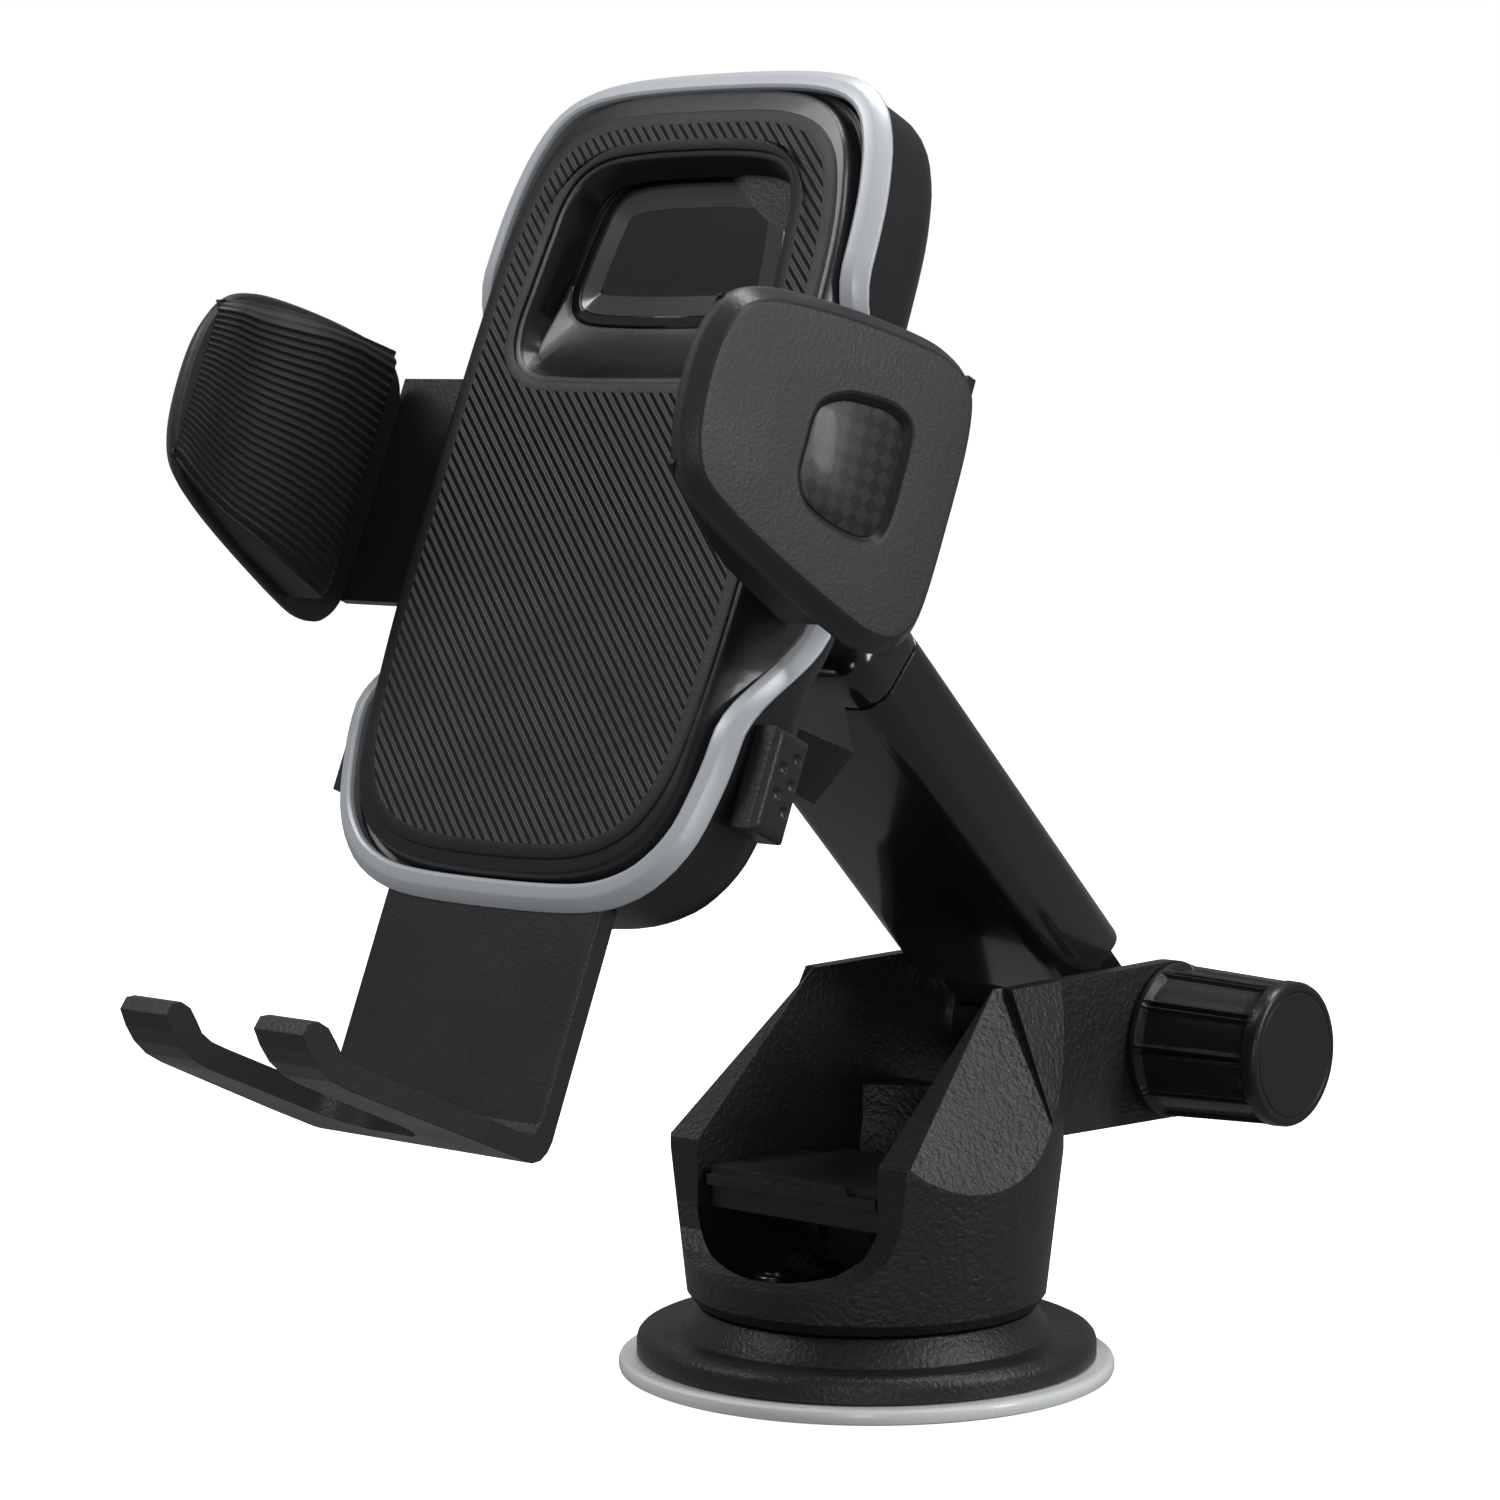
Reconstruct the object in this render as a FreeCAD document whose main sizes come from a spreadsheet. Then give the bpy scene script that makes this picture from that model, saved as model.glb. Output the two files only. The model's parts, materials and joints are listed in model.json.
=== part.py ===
import FreeCAD, Part
import math
import os
import Sketcher

# Car phone mount: suction base, folding telescopic arm, ball joint and a spring clamp cradle.
# Millimetres. Z up, front of the mount towards -Y, origin at the centre of the gel pad's underside.

doc = FreeCAD.newDocument("phone_mount")
V = FreeCAD.Vector

SIZES = [
    # suction base
    ("pad_radius", 40.0), ("pad_thick", 2.4), ("ring_radius", 37.1), ("ring_height", 4.3),
    ("collar_low", 29.9), ("collar_high", 27.4), ("collar_height", 4.0), ("deck_thick", 2.4),
    ("cup_radius", 26.4), ("cup_thick", 1.8), ("cup_gap", 1.2), ("rod_radius", 4.0),
    # housing
    ("body_low", 29.0), ("body_high", 31.6), ("body_shoulder", 36.0), ("body_top", 62.3),
    ("wall", 3.0), ("ear_inner", 18.6), ("ear_thick", 2.8), ("face_back", 20.2),
    # arm
    ("pivot_back", 54.1), ("pivot_height", 49.1), ("arm_lean", 46.3), ("ear_radius", 13.2),
    ("bolt_radius", 3.0), ("sleeve_half", 18.1), ("sleeve_front", 7.9), ("sleeve_rear", 8.15),
    ("sleeve_start", 18.8), ("sleeve_end", 94.0), ("head_end", 104.0), ("bar_half", 15.0),
    ("bar_front", 4.6), ("bar_rear", 5.2), ("bar_end", 78.0), ("corner", 4.2),
    ("knob_end", 46.0), ("knob_radius", 11.85), ("knob_root", 12.9),
    # ball joint
    ("ball_radius", 8.5), ("neck_radius", 3.9), ("liner_thick", 1.0), ("socket_radius", 13.0),
    ("lobe_reach", 18.6), ("lobe_radius", 9.6),
    # cradle
    ("cradle_lean", 23.5), ("cradle_half", 38.7), ("cradle_low", 36.0), ("cradle_high", 169.0),
    ("cover_face", -6.4), ("shell_back", 14.0), ("shell_wall", 2.2), ("pad_proud", 0.5),
    ("foot_half", 21.35), ("foot_front", -3.3), ("foot_thick", 3.6), ("foot_rise", 66.0),
    ("prong_reach", 49.0), ("prong_inner", 8.8),
    # clamps
    ("slide_thick", 1.8), ("right_layer", 1.6), ("left_layer", 3.8), ("slide_low", 84.0),
    ("slide_high", 121.6), ("wing_root", 56.6), ("wing_cant", 0.158), ("wing_thick", 3.8),
    ("gear_height", 103.0), ("gear_module", 0.9), ("gear_teeth", 10.0),
    # clearances
    ("slide_gap", 0.35), ("run_gap", 0.08), ("ball_gap", 0.1), ("part_gap", 0.3),
]

sheet = doc.addObject("Spreadsheet::Sheet", "Sizes")
for row, (name, number) in enumerate(SIZES, start=1):
    sheet.set("A%d" % row, name)
    sheet.set("B%d" % row, str(number))
    sheet.setAlias("B%d" % row, name)
doc.recompute()


def val(name):
    return float(sheet.get(name))


# ---------------------------------------------------------------- frames
lean = val("arm_lean")
tilt = val("cradle_lean")
pivot = V(0, val("pivot_back"), val("pivot_height"))
arm_frame = FreeCAD.Placement(pivot, FreeCAD.Rotation(V(1, 0, 0), lean))
BALL_BACK = 32.4
BALL_UP = 76.2
ball_in_arm = V(0, -22.5, 105.9)
ball_centre = arm_frame.multVec(ball_in_arm)
cradle_turn = FreeCAD.Rotation(V(1, 0, 0), -tilt)
cradle_frame = FreeCAD.Placement(ball_centre - cradle_turn.multVec(V(0, BALL_BACK, BALL_UP)), cradle_turn)
base_frame = FreeCAD.Placement()
nodes = []


def keep(obj, label, frame):
    obj.Label = label
    obj.Placement = frame
    nodes.append(obj)
    return obj


def feature(label, shape, frame):
    obj = doc.addObject("Part::Feature", label)
    obj.Shape = shape.removeSplitter() if len(shape.Solids) == 1 else shape
    return keep(obj, label, frame)


# ---------------------------------------------------------------- sketch helpers
def plane_of(body, role):
    for item in body.Origin.OriginFeatures:
        if item.Role == role:
            return item
    raise ValueError(role)


def sketch_on(body, role, label, lift=None):
    sketch = body.newObject("Sketcher::SketchObject", label)
    sketch.AttachmentSupport = [(plane_of(body, role), "")]
    sketch.MapMode = "FlatFace"
    if lift:
        sketch.setExpression("AttachmentOffset.Base.z", lift)
    return sketch


def bind(sketch, kind, geo, point, expression):
    start = float(sketch.evalExpression(expression))
    index = sketch.addConstraint(Sketcher.Constraint(kind, -1, 1, geo, point, start))
    sketch.setExpression("Constraints[%d]" % index, expression)


def outline(sketch, corners):
    """Closed polygon whose corners are pairs of sheet expressions."""
    spots = [V(float(sketch.evalExpression(x)), float(sketch.evalExpression(y)), 0) for x, y in corners]
    first = sketch.GeometryCount
    count = len(spots)
    for i, spot in enumerate(spots):
        sketch.addGeometry(Part.LineSegment(spot, spots[(i + 1) % count]), False)
    for i in range(count):
        sketch.addConstraint(Sketcher.Constraint("Coincident", first + i, 2, first + (i + 1) % count, 1))
    for i, (x, y) in enumerate(corners):
        bind(sketch, "DistanceX", first + i, 1, x)
        bind(sketch, "DistanceY", first + i, 1, y)


def circle(sketch, radius, x="0", y="0"):
    spot = V(float(sketch.evalExpression(x)), float(sketch.evalExpression(y)), 0)
    size = float(sketch.evalExpression(radius))
    geo = sketch.addGeometry(Part.Circle(spot, V(0, 0, 1), size), False)
    index = sketch.addConstraint(Sketcher.Constraint("Radius", geo, size))
    sketch.setExpression("Constraints[%d]" % index, radius)
    if x == "0" and y == "0":
        sketch.addConstraint(Sketcher.Constraint("Coincident", geo, 3, -1, 1))
    else:
        bind(sketch, "DistanceX", geo, 3, x)
        bind(sketch, "DistanceY", geo, 3, y)


def pad(body, sketch, length, reverse=False):
    step = body.newObject("PartDesign::Pad", sketch.Label + "_pad")
    step.Profile = sketch
    step.setExpression("Length", length)
    step.Reversed = reverse
    sketch.Visibility = False
    return step


def pocket(body, sketch, length, reverse=False):
    step = body.newObject("PartDesign::Pocket", sketch.Label + "_pocket")
    step.Profile = sketch
    step.setExpression("Length", length)
    step.Reversed = reverse
    sketch.Visibility = False
    return step


def turned(label, corners, frame):
    """Body made by turning a profile of (radius, height) pairs about its Z axis."""
    body = doc.addObject("PartDesign::Body", label)
    sketch = sketch_on(body, "XZ_Plane", label + "_profile")
    outline(sketch, corners)
    step = body.newObject("PartDesign::Revolution", label + "_turn")
    step.Profile = sketch
    step.ReferenceAxis = (sketch, ["V_Axis"])
    step.Angle = 360
    sketch.Visibility = False
    return keep(body, label, frame)


# ---------------------------------------------------------------- plain solid helpers
def box(x0, x1, y0, y1, z0, z1):
    return Part.makeBox(x1 - x0, y1 - y0, z1 - z0, V(x0, y0, z0))


def both_sides(x0, x1, y0, y1, z0, z1):
    return box(x0, x1, y0, y1, z0, z1).fuse(box(-x1, -x0, y0, y1, z0, z1))


def rod(radius, start, direction, length):
    return Part.makeCylinder(radius, length, start, direction)


def prism(points, axis, start, length):
    """Polygon given in the plane across an axis letter, pushed along that axis."""
    place = {
        "x": lambda a, c: V(start, a, c),
        "y": lambda a, c: V(a, start, c),
        "z": lambda a, c: V(a, c, start),
    }[axis]
    push = {"x": V(length, 0, 0), "y": V(0, length, 0), "z": V(0, 0, length)}[axis]
    wire = Part.makePolygon([place(a, c) for a, c in points + points[:1]])
    return Part.Face(wire).extrude(push)


def smooth_wire(points):
    curve = Part.BSplineCurve()
    curve.interpolate(points, PeriodicFlag=True)
    return Part.Wire(curve.toShape())


def loft(wires, ruled=True):
    return Part.makeLoft(wires, True, ruled)


def mirrored(shape):
    return shape.mirror(V(0, 0, 0), V(1, 0, 0))


def round_edges(shape, radius, test):
    edges = [edge for edge in shape.Edges if test(edge)]
    return shape.makeFillet(radius, edges)


# ================================================================= suction base
gel = doc.addObject("PartDesign::Body", "gel_pad")
gel_disc = sketch_on(gel, "XY_Plane", "gel_disc")
circle(gel_disc, "Sizes.pad_radius")
pad(gel, gel_disc, "Sizes.pad_thick")
gel_tab = sketch_on(gel, "XY_Plane", "gel_tab")
outline(gel_tab, [("-8", "Sizes.pad_radius - 4"), ("0", "Sizes.pad_radius - 4"),
                  ("0", "Sizes.pad_radius + 10"), ("-2", "Sizes.pad_radius + 12"),
                  ("-6", "Sizes.pad_radius + 12"), ("-8", "Sizes.pad_radius + 10")])
pad(gel, gel_tab, "Sizes.pad_thick - 0.8")
keep(gel, "gel_pad", base_frame)

RING_TOP = "Sizes.pad_thick + Sizes.ring_height"
DECK_TOP = "Sizes.pad_thick + Sizes.ring_height + Sizes.collar_height + 0.5"
DECK_LOW = DECK_TOP + " - Sizes.deck_thick"
turned("base_ring", [
    ("Sizes.cup_radius + 0.8", "Sizes.pad_thick"),
    ("Sizes.ring_radius - 0.6", "Sizes.pad_thick"),
    ("Sizes.ring_radius", "Sizes.pad_thick + 0.5"),
    ("Sizes.ring_radius", RING_TOP + " - 1.5"),
    ("Sizes.ring_radius - 0.45", RING_TOP + " - 0.6"),
    ("Sizes.ring_radius - 1.4", RING_TOP),
    ("Sizes.collar_low", RING_TOP + " - 0.4"),
    ("Sizes.collar_high", RING_TOP + " + Sizes.collar_height - 0.3"),
    ("Sizes.collar_high - 0.7", RING_TOP + " + Sizes.collar_height"),
    ("Sizes.collar_high - 2", RING_TOP + " + Sizes.collar_height"),
    ("Sizes.collar_high - 2", DECK_TOP),
    ("Sizes.rod_radius + Sizes.part_gap", DECK_TOP),
    ("Sizes.rod_radius + Sizes.part_gap", DECK_LOW),
    ("Sizes.cup_radius + 0.8", DECK_LOW),
], base_frame)
deck_top = val("pad_thick") + val("ring_height") + val("collar_height") + 0.5

LEVER_UP = 22.0
CUP_LOW = "Sizes.pad_thick + 2.6 + 0.6"
turned("cup_plate", [
    ("0", CUP_LOW), ("Sizes.cup_radius - 2", CUP_LOW), ("Sizes.cup_radius", CUP_LOW + " + 0.6"),
    ("Sizes.cup_radius", CUP_LOW + " + Sizes.cup_thick"), ("0", CUP_LOW + " + Sizes.cup_thick"),
], base_frame)

rod_low = val("pad_thick") + 3.2 + val("cup_thick")
plunger_shape = rod(val("rod_radius"), V(0, 0, rod_low), V(0, 0, 1), LEVER_UP - 4.6 - rod_low)
plunger_shape = plunger_shape.fuse(box(-4.8, 4.8, -4.4, 4.4, LEVER_UP - 4.6, LEVER_UP + 4.4))
PIN = 1.6
plunger_shape = plunger_shape.cut(rod(PIN, V(-9, 0, LEVER_UP), V(1, 0, 0), 18))
feature("plunger", plunger_shape, base_frame)

pin = doc.addObject("Part::Cylinder", "lever_pin")
pin.Radius = PIN
pin.Height = 17.2
keep(pin, "lever_pin", FreeCAD.Placement(V(-8.6, 0, LEVER_UP), FreeCAD.Rotation(V(0, 1, 0), 90)))

# Lever: plate with a stepped lip, a front skirt and two cam cheeks on the pin.
lever_front = -(val("face_back") - 0.9)
cam = []
for step in range(-4, 14):
    turn = math.radians(step * 10)
    reach = 7.1 - 2.7 * max(0.0, step * 10) / 70.0
    cam.append((reach * math.sin(turn), LEVER_UP - reach * math.cos(turn)))
cheek = [(-6.0, 31.4), (-6.5, 24.0)] + cam[2:12] + [(4.8, 26.0), (4.8, 31.4)]
plate = box(-17.4, 17.4, lever_front + 1.2, 3.0, 31.0, 33.2).fuse(box(-11.5, 11.5, 2.0, 8.5, 31.0, 33.2))
lip = box(-17.4, 17.4, lever_front, lever_front + 6, 30.4, 33.6)
lip = lip.cut(box(-17.5, -11, lever_front - 1, lever_front + 0.9, 32.2, 34))
lip = lip.cut(box(11.5, 17.5, lever_front - 1, lever_front + 0.9, 32.2, 34))
lip = lip.cut(rod(26, V(0, lever_front - 25.4, 32.4), V(0, 0, 1), 3))
skirt = box(-17.4, 17.4, lever_front + 1.4, lever_front + 3.2, 26.7, 31.2)
lever_shape = plate.fuse([lip, skirt])
for side in (5.2, -8.2):
    lever_shape = lever_shape.fuse(prism(cheek, "x", side, 3.0))
lever_shape = lever_shape.cut(rod(PIN + val("run_gap"), V(-9, 0, LEVER_UP), V(1, 0, 0), 18))
feature("suction_lever", lever_shape, base_frame)

# ---------------------------------------------------------------- housing
floor_low = deck_top
floor_top = floor_low + val("wall")
shoulder = val("body_shoulder")
top = val("body_top")
ear_outer = val("ear_inner") + val("ear_thick")
low_radius = val("body_low")
high_radius = val("body_high")


def flared(radius_low, radius_high, start, half_top, end):
    """Cone up to the shoulder, then a drum whose two sides slope in to half_top."""
    solid = Part.makeCone(radius_low, radius_high, shoulder - start, V(0, 0, start))
    solid = solid.fuse(rod(radius_high, V(0, 0, shoulder), V(0, 0, 1), end - shoulder))
    sides = [(-radius_high - 1, start - 1), (radius_high + 1, start - 1), (radius_high + 1, shoulder + 1),
             (half_top, top), (half_top, end + 1), (-half_top, end + 1), (-half_top, top),
             (-radius_high - 1, shoulder + 1)]
    return solid.common(prism(sides, "y", -60, 120))


body = Part.makeCone(low_radius - 1.4, low_radius, 1.8, V(0, 0, floor_low))
body = body.fuse(flared(low_radius, high_radius, floor_low + 1.8, ear_outer, top))
pivot_y = val("pivot_back")
pivot_z = val("pivot_height")
ear_radius = val("ear_radius")
ear_block = prism([(0, shoulder + 1.8), (pivot_y, pivot_z - ear_radius), (pivot_y, pivot_z + ear_radius),
                   (0, pivot_z + ear_radius)], "x", -ear_outer, 2 * ear_outer)
ear_block = ear_block.fuse(rod(ear_radius, V(-ear_outer, pivot_y, pivot_z), V(1, 0, 0), 2 * ear_outer))
body = body.fuse(ear_block)
wall = val("wall")
inner = flared(low_radius - wall, high_radius - wall, floor_top, val("ear_inner"), top + 0.5)
cavity = box(-val("ear_inner"), val("ear_inner"), -60, 60, floor_top, top + 1)
cavity = round_edges(cavity, 6.5, lambda edge: edge.BoundBox.ZMax < floor_top + 0.01 and edge.BoundBox.YLength > 100)
inner = inner.common(cavity)
rear_wall_top = 41.2
slot = box(-val("ear_inner"), val("ear_inner"), 8, pivot_y + 20, rear_wall_top, top + 5)
slot = slot.fuse(box(-val("ear_inner"), val("ear_inner"), high_radius, pivot_y + 20, shoulder - 0.2, top + 5))
face_y = -val("face_back")
front_cut = prism([(-60, 17.4), (-29.9, 17.4), (-26.5, 18.3), (-23.4, 20.4), (-21.2, 23.4), (face_y, 27.5),
                   (face_y, 37.6), (face_y + 29.7, top + 0.6), (face_y + 29.7, 90), (-60, 90)], "x", -60, 120)
body = body.cut([inner, slot, front_cut])
facet = Part.makeBox(60, 60, 60, V(0, -30, -30))
facet.Placement = FreeCAD.Placement(V(25.0, -20.0, 37.3), FreeCAD.Rotation(V(1, 0, 0), V(0.859, -0.215, 0.463)))
body = body.cut([facet, mirrored(facet)])
bolt_radius = val("bolt_radius")
body = body.cut(rod(bolt_radius, V(-40, pivot_y, pivot_z), V(1, 0, 0), 80))
body = body.cut(rod(val("rod_radius") + val("part_gap"), V(0, 0, 0), V(0, 0, 1), 30))
SCREWS = [(-9.0, -13.0), (9.0, -13.0), (0.0, 18.5)]
screw_head = 2.6
for x, y in SCREWS:
    body = body.cut(rod(1.4, V(x, y, 0), V(0, 0, 1), 30))
feature("base_housing", body, base_frame)

screws = []
for x, y in SCREWS:
    head = rod(screw_head, V(x, y, floor_top), V(0, 0, 1), 1.7)
    head = head.cut(box(x - 1.6, x + 1.6, y - 0.35, y + 0.35, floor_top + 0.9, floor_top + 2))
    head = head.cut(box(x - 0.35, x + 0.35, y - 1.6, y + 1.6, floor_top + 0.9, floor_top + 2))
    screws.append(head.fuse(rod(1.4, V(x, y, floor_low + 0.2), V(0, 0, 1), val("wall") - 0.2)))
feature("base_screws", Part.makeCompound(screws), base_frame)

# ---------------------------------------------------------------- pivot bolt, washers and knob
washer = doc.addObject("Part::Cylinder", "washer_disc")
washer.Radius = 9.0
washer.Height = 1.6
hole = doc.addObject("Part::Cylinder", "washer_hole")
hole.setExpression("Radius", "Sizes.bolt_radius + 0.02")
hole.Height = 4.0
turn_x = FreeCAD.Rotation(V(0, 1, 0), 90)
ring = doc.addObject("Part::Cut", "washer_ring")
ring.Base = washer
ring.Tool = hole
doc.recompute()
left_washer = ring.Shape.copy()
left_washer.Placement = FreeCAD.Placement(V(-val("ear_inner"), pivot_y, pivot_z), turn_x)
right_washer = ring.Shape.copy()
right_washer.Placement = FreeCAD.Placement(V(val("ear_inner") - 1.6, pivot_y, pivot_z), turn_x)
feature("pivot_washers", Part.makeCompound([left_washer, right_washer]), base_frame)

turned("pivot_bolt", [
    ("0", "-Sizes.ear_inner - Sizes.ear_thick - 3.2"), ("5.4", "-Sizes.ear_inner - Sizes.ear_thick - 3.2"),
    ("6.2", "-Sizes.ear_inner - Sizes.ear_thick - 2.4"), ("6.2", "-Sizes.ear_inner - Sizes.ear_thick"),
    ("Sizes.bolt_radius", "-Sizes.ear_inner - Sizes.ear_thick"), ("Sizes.bolt_radius", "Sizes.knob_end - 6"),
    ("0", "Sizes.knob_end - 6"),
], FreeCAD.Placement(pivot, turn_x))

knob_start = ear_outer + val("part_gap")
knob_end = val("knob_end")
knob_length = knob_end - knob_start
knob = Part.makeCone(val("knob_root"), val("knob_radius"), knob_length, V(0, 0, knob_start))
knob = round_edges(knob, 0.7, lambda edge: abs(edge.BoundBox.ZMin - knob_end) < 0.01)
groove_count = 10
flutes = []
for i in range(groove_count):
    for offset in (-7.0, 0.0, 7.0):
        turn = math.radians(360.0 * i / groove_count + offset)
        reach = val("knob_radius") + 0.75
        spot = V(reach * math.cos(turn), reach * math.sin(turn), knob_start + 1.5)
        length = knob_length - 5.2
        flutes.append(rod(0.75, spot, V(0, 0, 1), length))
        flutes.append(Part.makeSphere(0.75, spot + V(0, 0, length)))
knob = knob.cut(flutes)
knob = knob.cut(rod(5.0, V(0, 0, knob_start - 1), V(0, 0, 1), knob_length - 4))
knob = knob.cut(rod(val("knob_radius") - 1.6, V(0, 0, knob_end - 0.5), V(0, 0, 1), 2))
knob_frame = FreeCAD.Placement(pivot, turn_x)
feature("clamp_knob", knob, knob_frame)
turned("knob_insert", [
    ("Sizes.bolt_radius + Sizes.run_gap", "Sizes.ear_inner + Sizes.ear_thick + Sizes.part_gap"),
    ("5.0", "Sizes.ear_inner + Sizes.ear_thick + Sizes.part_gap"),
    ("5.0", "Sizes.knob_end - 5.2"), ("Sizes.bolt_radius + Sizes.run_gap", "Sizes.knob_end - 5.2"),
], knob_frame)
turned("knob_cap", [
    ("0", "Sizes.knob_end - 0.5"), ("Sizes.knob_radius - 1.6", "Sizes.knob_end - 0.5"),
    ("Sizes.knob_radius - 1.6", "Sizes.knob_end - 0.1"), ("Sizes.knob_radius - 2.0", "Sizes.knob_end"),
    ("0", "Sizes.knob_end"),
], knob_frame)

# ================================================================= arm (own frame, Z along the arm)
barrel_half = val("ear_inner") - 1.6 - val("part_gap")
bar = doc.addObject("PartDesign::Body", "inner_arm")
bar_sketch = sketch_on(bar, "XY_Plane", "bar_section")
outline(bar_sketch, [("-Sizes.bar_half", "-Sizes.bar_front"), ("Sizes.bar_half", "-Sizes.bar_front"),
                     ("Sizes.bar_half", "Sizes.bar_rear"), ("-Sizes.bar_half", "Sizes.bar_rear")])
pad(bar, bar_sketch, "Sizes.bar_end")
eye_sketch = sketch_on(bar, "YZ_Plane", "eye_section", "-(Sizes.ear_inner - 1.6 - Sizes.part_gap)")
circle(eye_sketch, "10.6")
pad(bar, eye_sketch, "2 * (Sizes.ear_inner - 1.6 - Sizes.part_gap)")
bore_sketch = sketch_on(bar, "YZ_Plane", "bore_section", "Sizes.ear_inner")
circle(bore_sketch, "Sizes.bolt_radius + Sizes.run_gap")
pocket(bar, bore_sketch, "2 * Sizes.ear_inner")
keep(bar, "inner_arm", arm_frame)


def rounded_tube(grow, low, high, radius):
    x = val("sleeve_half") + grow
    solid = box(-x, x, -val("sleeve_front") - grow, val("sleeve_rear") + grow, low, high)
    return round_edges(solid, radius, lambda edge: edge.BoundBox.ZLength > high - low - 0.01)


sleeve_start = val("sleeve_start")
sleeve_end = val("sleeve_end")
corner = val("corner")
slide_gap = val("slide_gap")
sleeve = rounded_tube(0, sleeve_start - 4, sleeve_end, corner)
bore = box(-val("bar_half") - slide_gap, val("bar_half") + slide_gap, -val("bar_front") - slide_gap,
           val("bar_rear") + slide_gap, 0, 200)
sleeve_cut = prism([(-20, 0), (20, 0), (20, sleeve_start - 2.2), (8.15, sleeve_start), (2.0, sleeve_start + 1.3),
                    (-3.5, sleeve_start + 1.9), (-20, sleeve_start + 5.5)], "x", -40, 80)
sleeve = sleeve.cut([bore, sleeve_cut])
feature("outer_sleeve", sleeve, arm_frame)

head = rounded_tube(0, sleeve_end + 0.12, val("head_end"), corner)
head_top = val("head_end")
head = round_edges(head, 2.6, lambda edge: edge.BoundBox.ZMin > head_top - 0.01)
plug = box(-val("bar_half") - 0.2, val("bar_half") + 0.2, -val("bar_front") - 0.2, val("bar_rear") + 0.2,
           sleeve_end - 8, sleeve_end + 2)
neck_dir = V(0, 0.896, -0.443)
neck_dir.normalize()
boss = Part.makeCone(5.6, 7.6, 4.6, ball_in_arm + neck_dir * 13.4, neck_dir)
boss = boss.common(box(-20, 20, -40, 3, sleeve_end + 0.12, 130))
neck_length = 21.5
neck_radius = val("neck_radius")
neck = rod(neck_radius, ball_in_arm, neck_dir, neck_length)
neck = neck.common(box(-20, 20, -60, 20, sleeve_end + 0.5, 140))
head = head.fuse([plug, boss]).cut(neck)
feature("arm_head", head, arm_frame)
stud = Part.makeSphere(val("ball_radius"), ball_in_arm).fuse(neck)
feature("ball_stud", stud, arm_frame)

# ================================================================= ball joint shells (cradle frame)
centre = V(0, BALL_BACK, BALL_UP)
ball_radius = val("ball_radius")
ball_gap = val("ball_gap")
liner_thick = val("liner_thick")


def cap(inside, outside, opening):
    """Spherical cap about the ball centre, opening angle from the -Y pole."""
    tool = Part.makeCone(0, 30 * math.tan(math.radians(min(opening, 80))), 30, centre, V(0, -1, 0))
    if opening > 80:
        tool = box(-30, 30, BALL_BACK - 30, BALL_BACK - 1.0, BALL_UP - 30, BALL_UP + 30)
    shell = Part.makeSphere(outside, centre).cut(Part.makeSphere(inside, centre))
    return shell.common(tool)


liner_in = ball_radius + ball_gap
liner_out = liner_in + liner_thick
seat_in = liner_out + ball_gap
seat_out = seat_in + liner_thick
feature("ball_liner", cap(liner_in, liner_out, 45), cradle_frame)
feature("ball_seat", cap(seat_in, seat_out, 85), cradle_frame)

socket_radius = val("socket_radius")
shell_back = val("shell_back")
socket_end = BALL_BACK + 1.6
socket = rod(16.0, V(0, shell_back, BALL_UP), V(0, 1, 0), 2.2)
socket = socket.fuse(rod(socket_radius, V(0, shell_back, BALL_UP), V(0, 1, 0), socket_end - shell_back))
hollow = Part.makeSphere(seat_out + ball_gap + 0.05, centre)
hollow = hollow.common(box(-20, 20, 0, BALL_BACK + 0.2, 0, 200))
socket = socket.cut([hollow, Part.makeSphere(ball_radius + ball_gap, centre)])
feature("ball_socket", socket, cradle_frame)

nut_low = shell_back + 2.2 + 4.6
nut_high = socket_end - 0.6
nut = rod(16.6, V(0, nut_low, BALL_UP), V(0, 1, 0), nut_high - nut_low)
lobe_reach = val("lobe_reach")
lobe_radius = val("lobe_radius")
for lobe_turn in (-6, 114, 234):
    a = math.radians(lobe_turn)
    cx = lobe_reach * math.cos(a)
    cz = BALL_UP + lobe_reach * math.sin(a)
    corners = []
    inner_corners = []
    for i in range(6):
        b = math.radians(60 * i)
        corners.append(V(cx + lobe_radius * math.cos(b), nut_high - 3.0, cz + lobe_radius * math.sin(b)))
        inner_corners.append(V(cx + (lobe_radius - 2.6) * math.cos(b), nut_low, cz + (lobe_radius - 2.6) * math.sin(b)))
    tail = [V(spot.x, nut_high, spot.z) for spot in corners]
    wires = [Part.makePolygon(ring_points + ring_points[:1]) for ring_points in (inner_corners, corners, tail)]
    nut = nut.fuse(loft(wires[:2]))
    nut = nut.fuse(loft(wires[1:]))
nut = nut.cut(rod(socket_radius + ball_gap, V(0, 0, BALL_UP), V(0, 1, 0), 60))
feature("ring_nut", nut, cradle_frame)

# ================================================================= cradle (own frame: Y back, Z up)
half = val("cradle_half")
low = val("cradle_low")
high = val("cradle_high")
mid = (low + high) / 2
tall = (high - low) / 2
# Right half of the outline as shares of the half width and half height, bottom to top.
EDGE = [(0, -1), (0.36, -0.995), (0.55, -0.978), (0.71, -0.944), (0.82, -0.896), (0.895, -0.836), (0.94, -0.78),
        (0.982, -0.685), (1.0, -0.59), (1.004, -0.45), (0.998, -0.2), (0.993, 0.1), (0.993, 0.35),
        (0.995, 0.52), (0.98, 0.645), (0.935, 0.79), (0.875, 0.862), (0.785, 0.918), (0.64, 0.962),
        (0.46, 0.986), (0.22, 0.997), (0, 1)]


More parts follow.
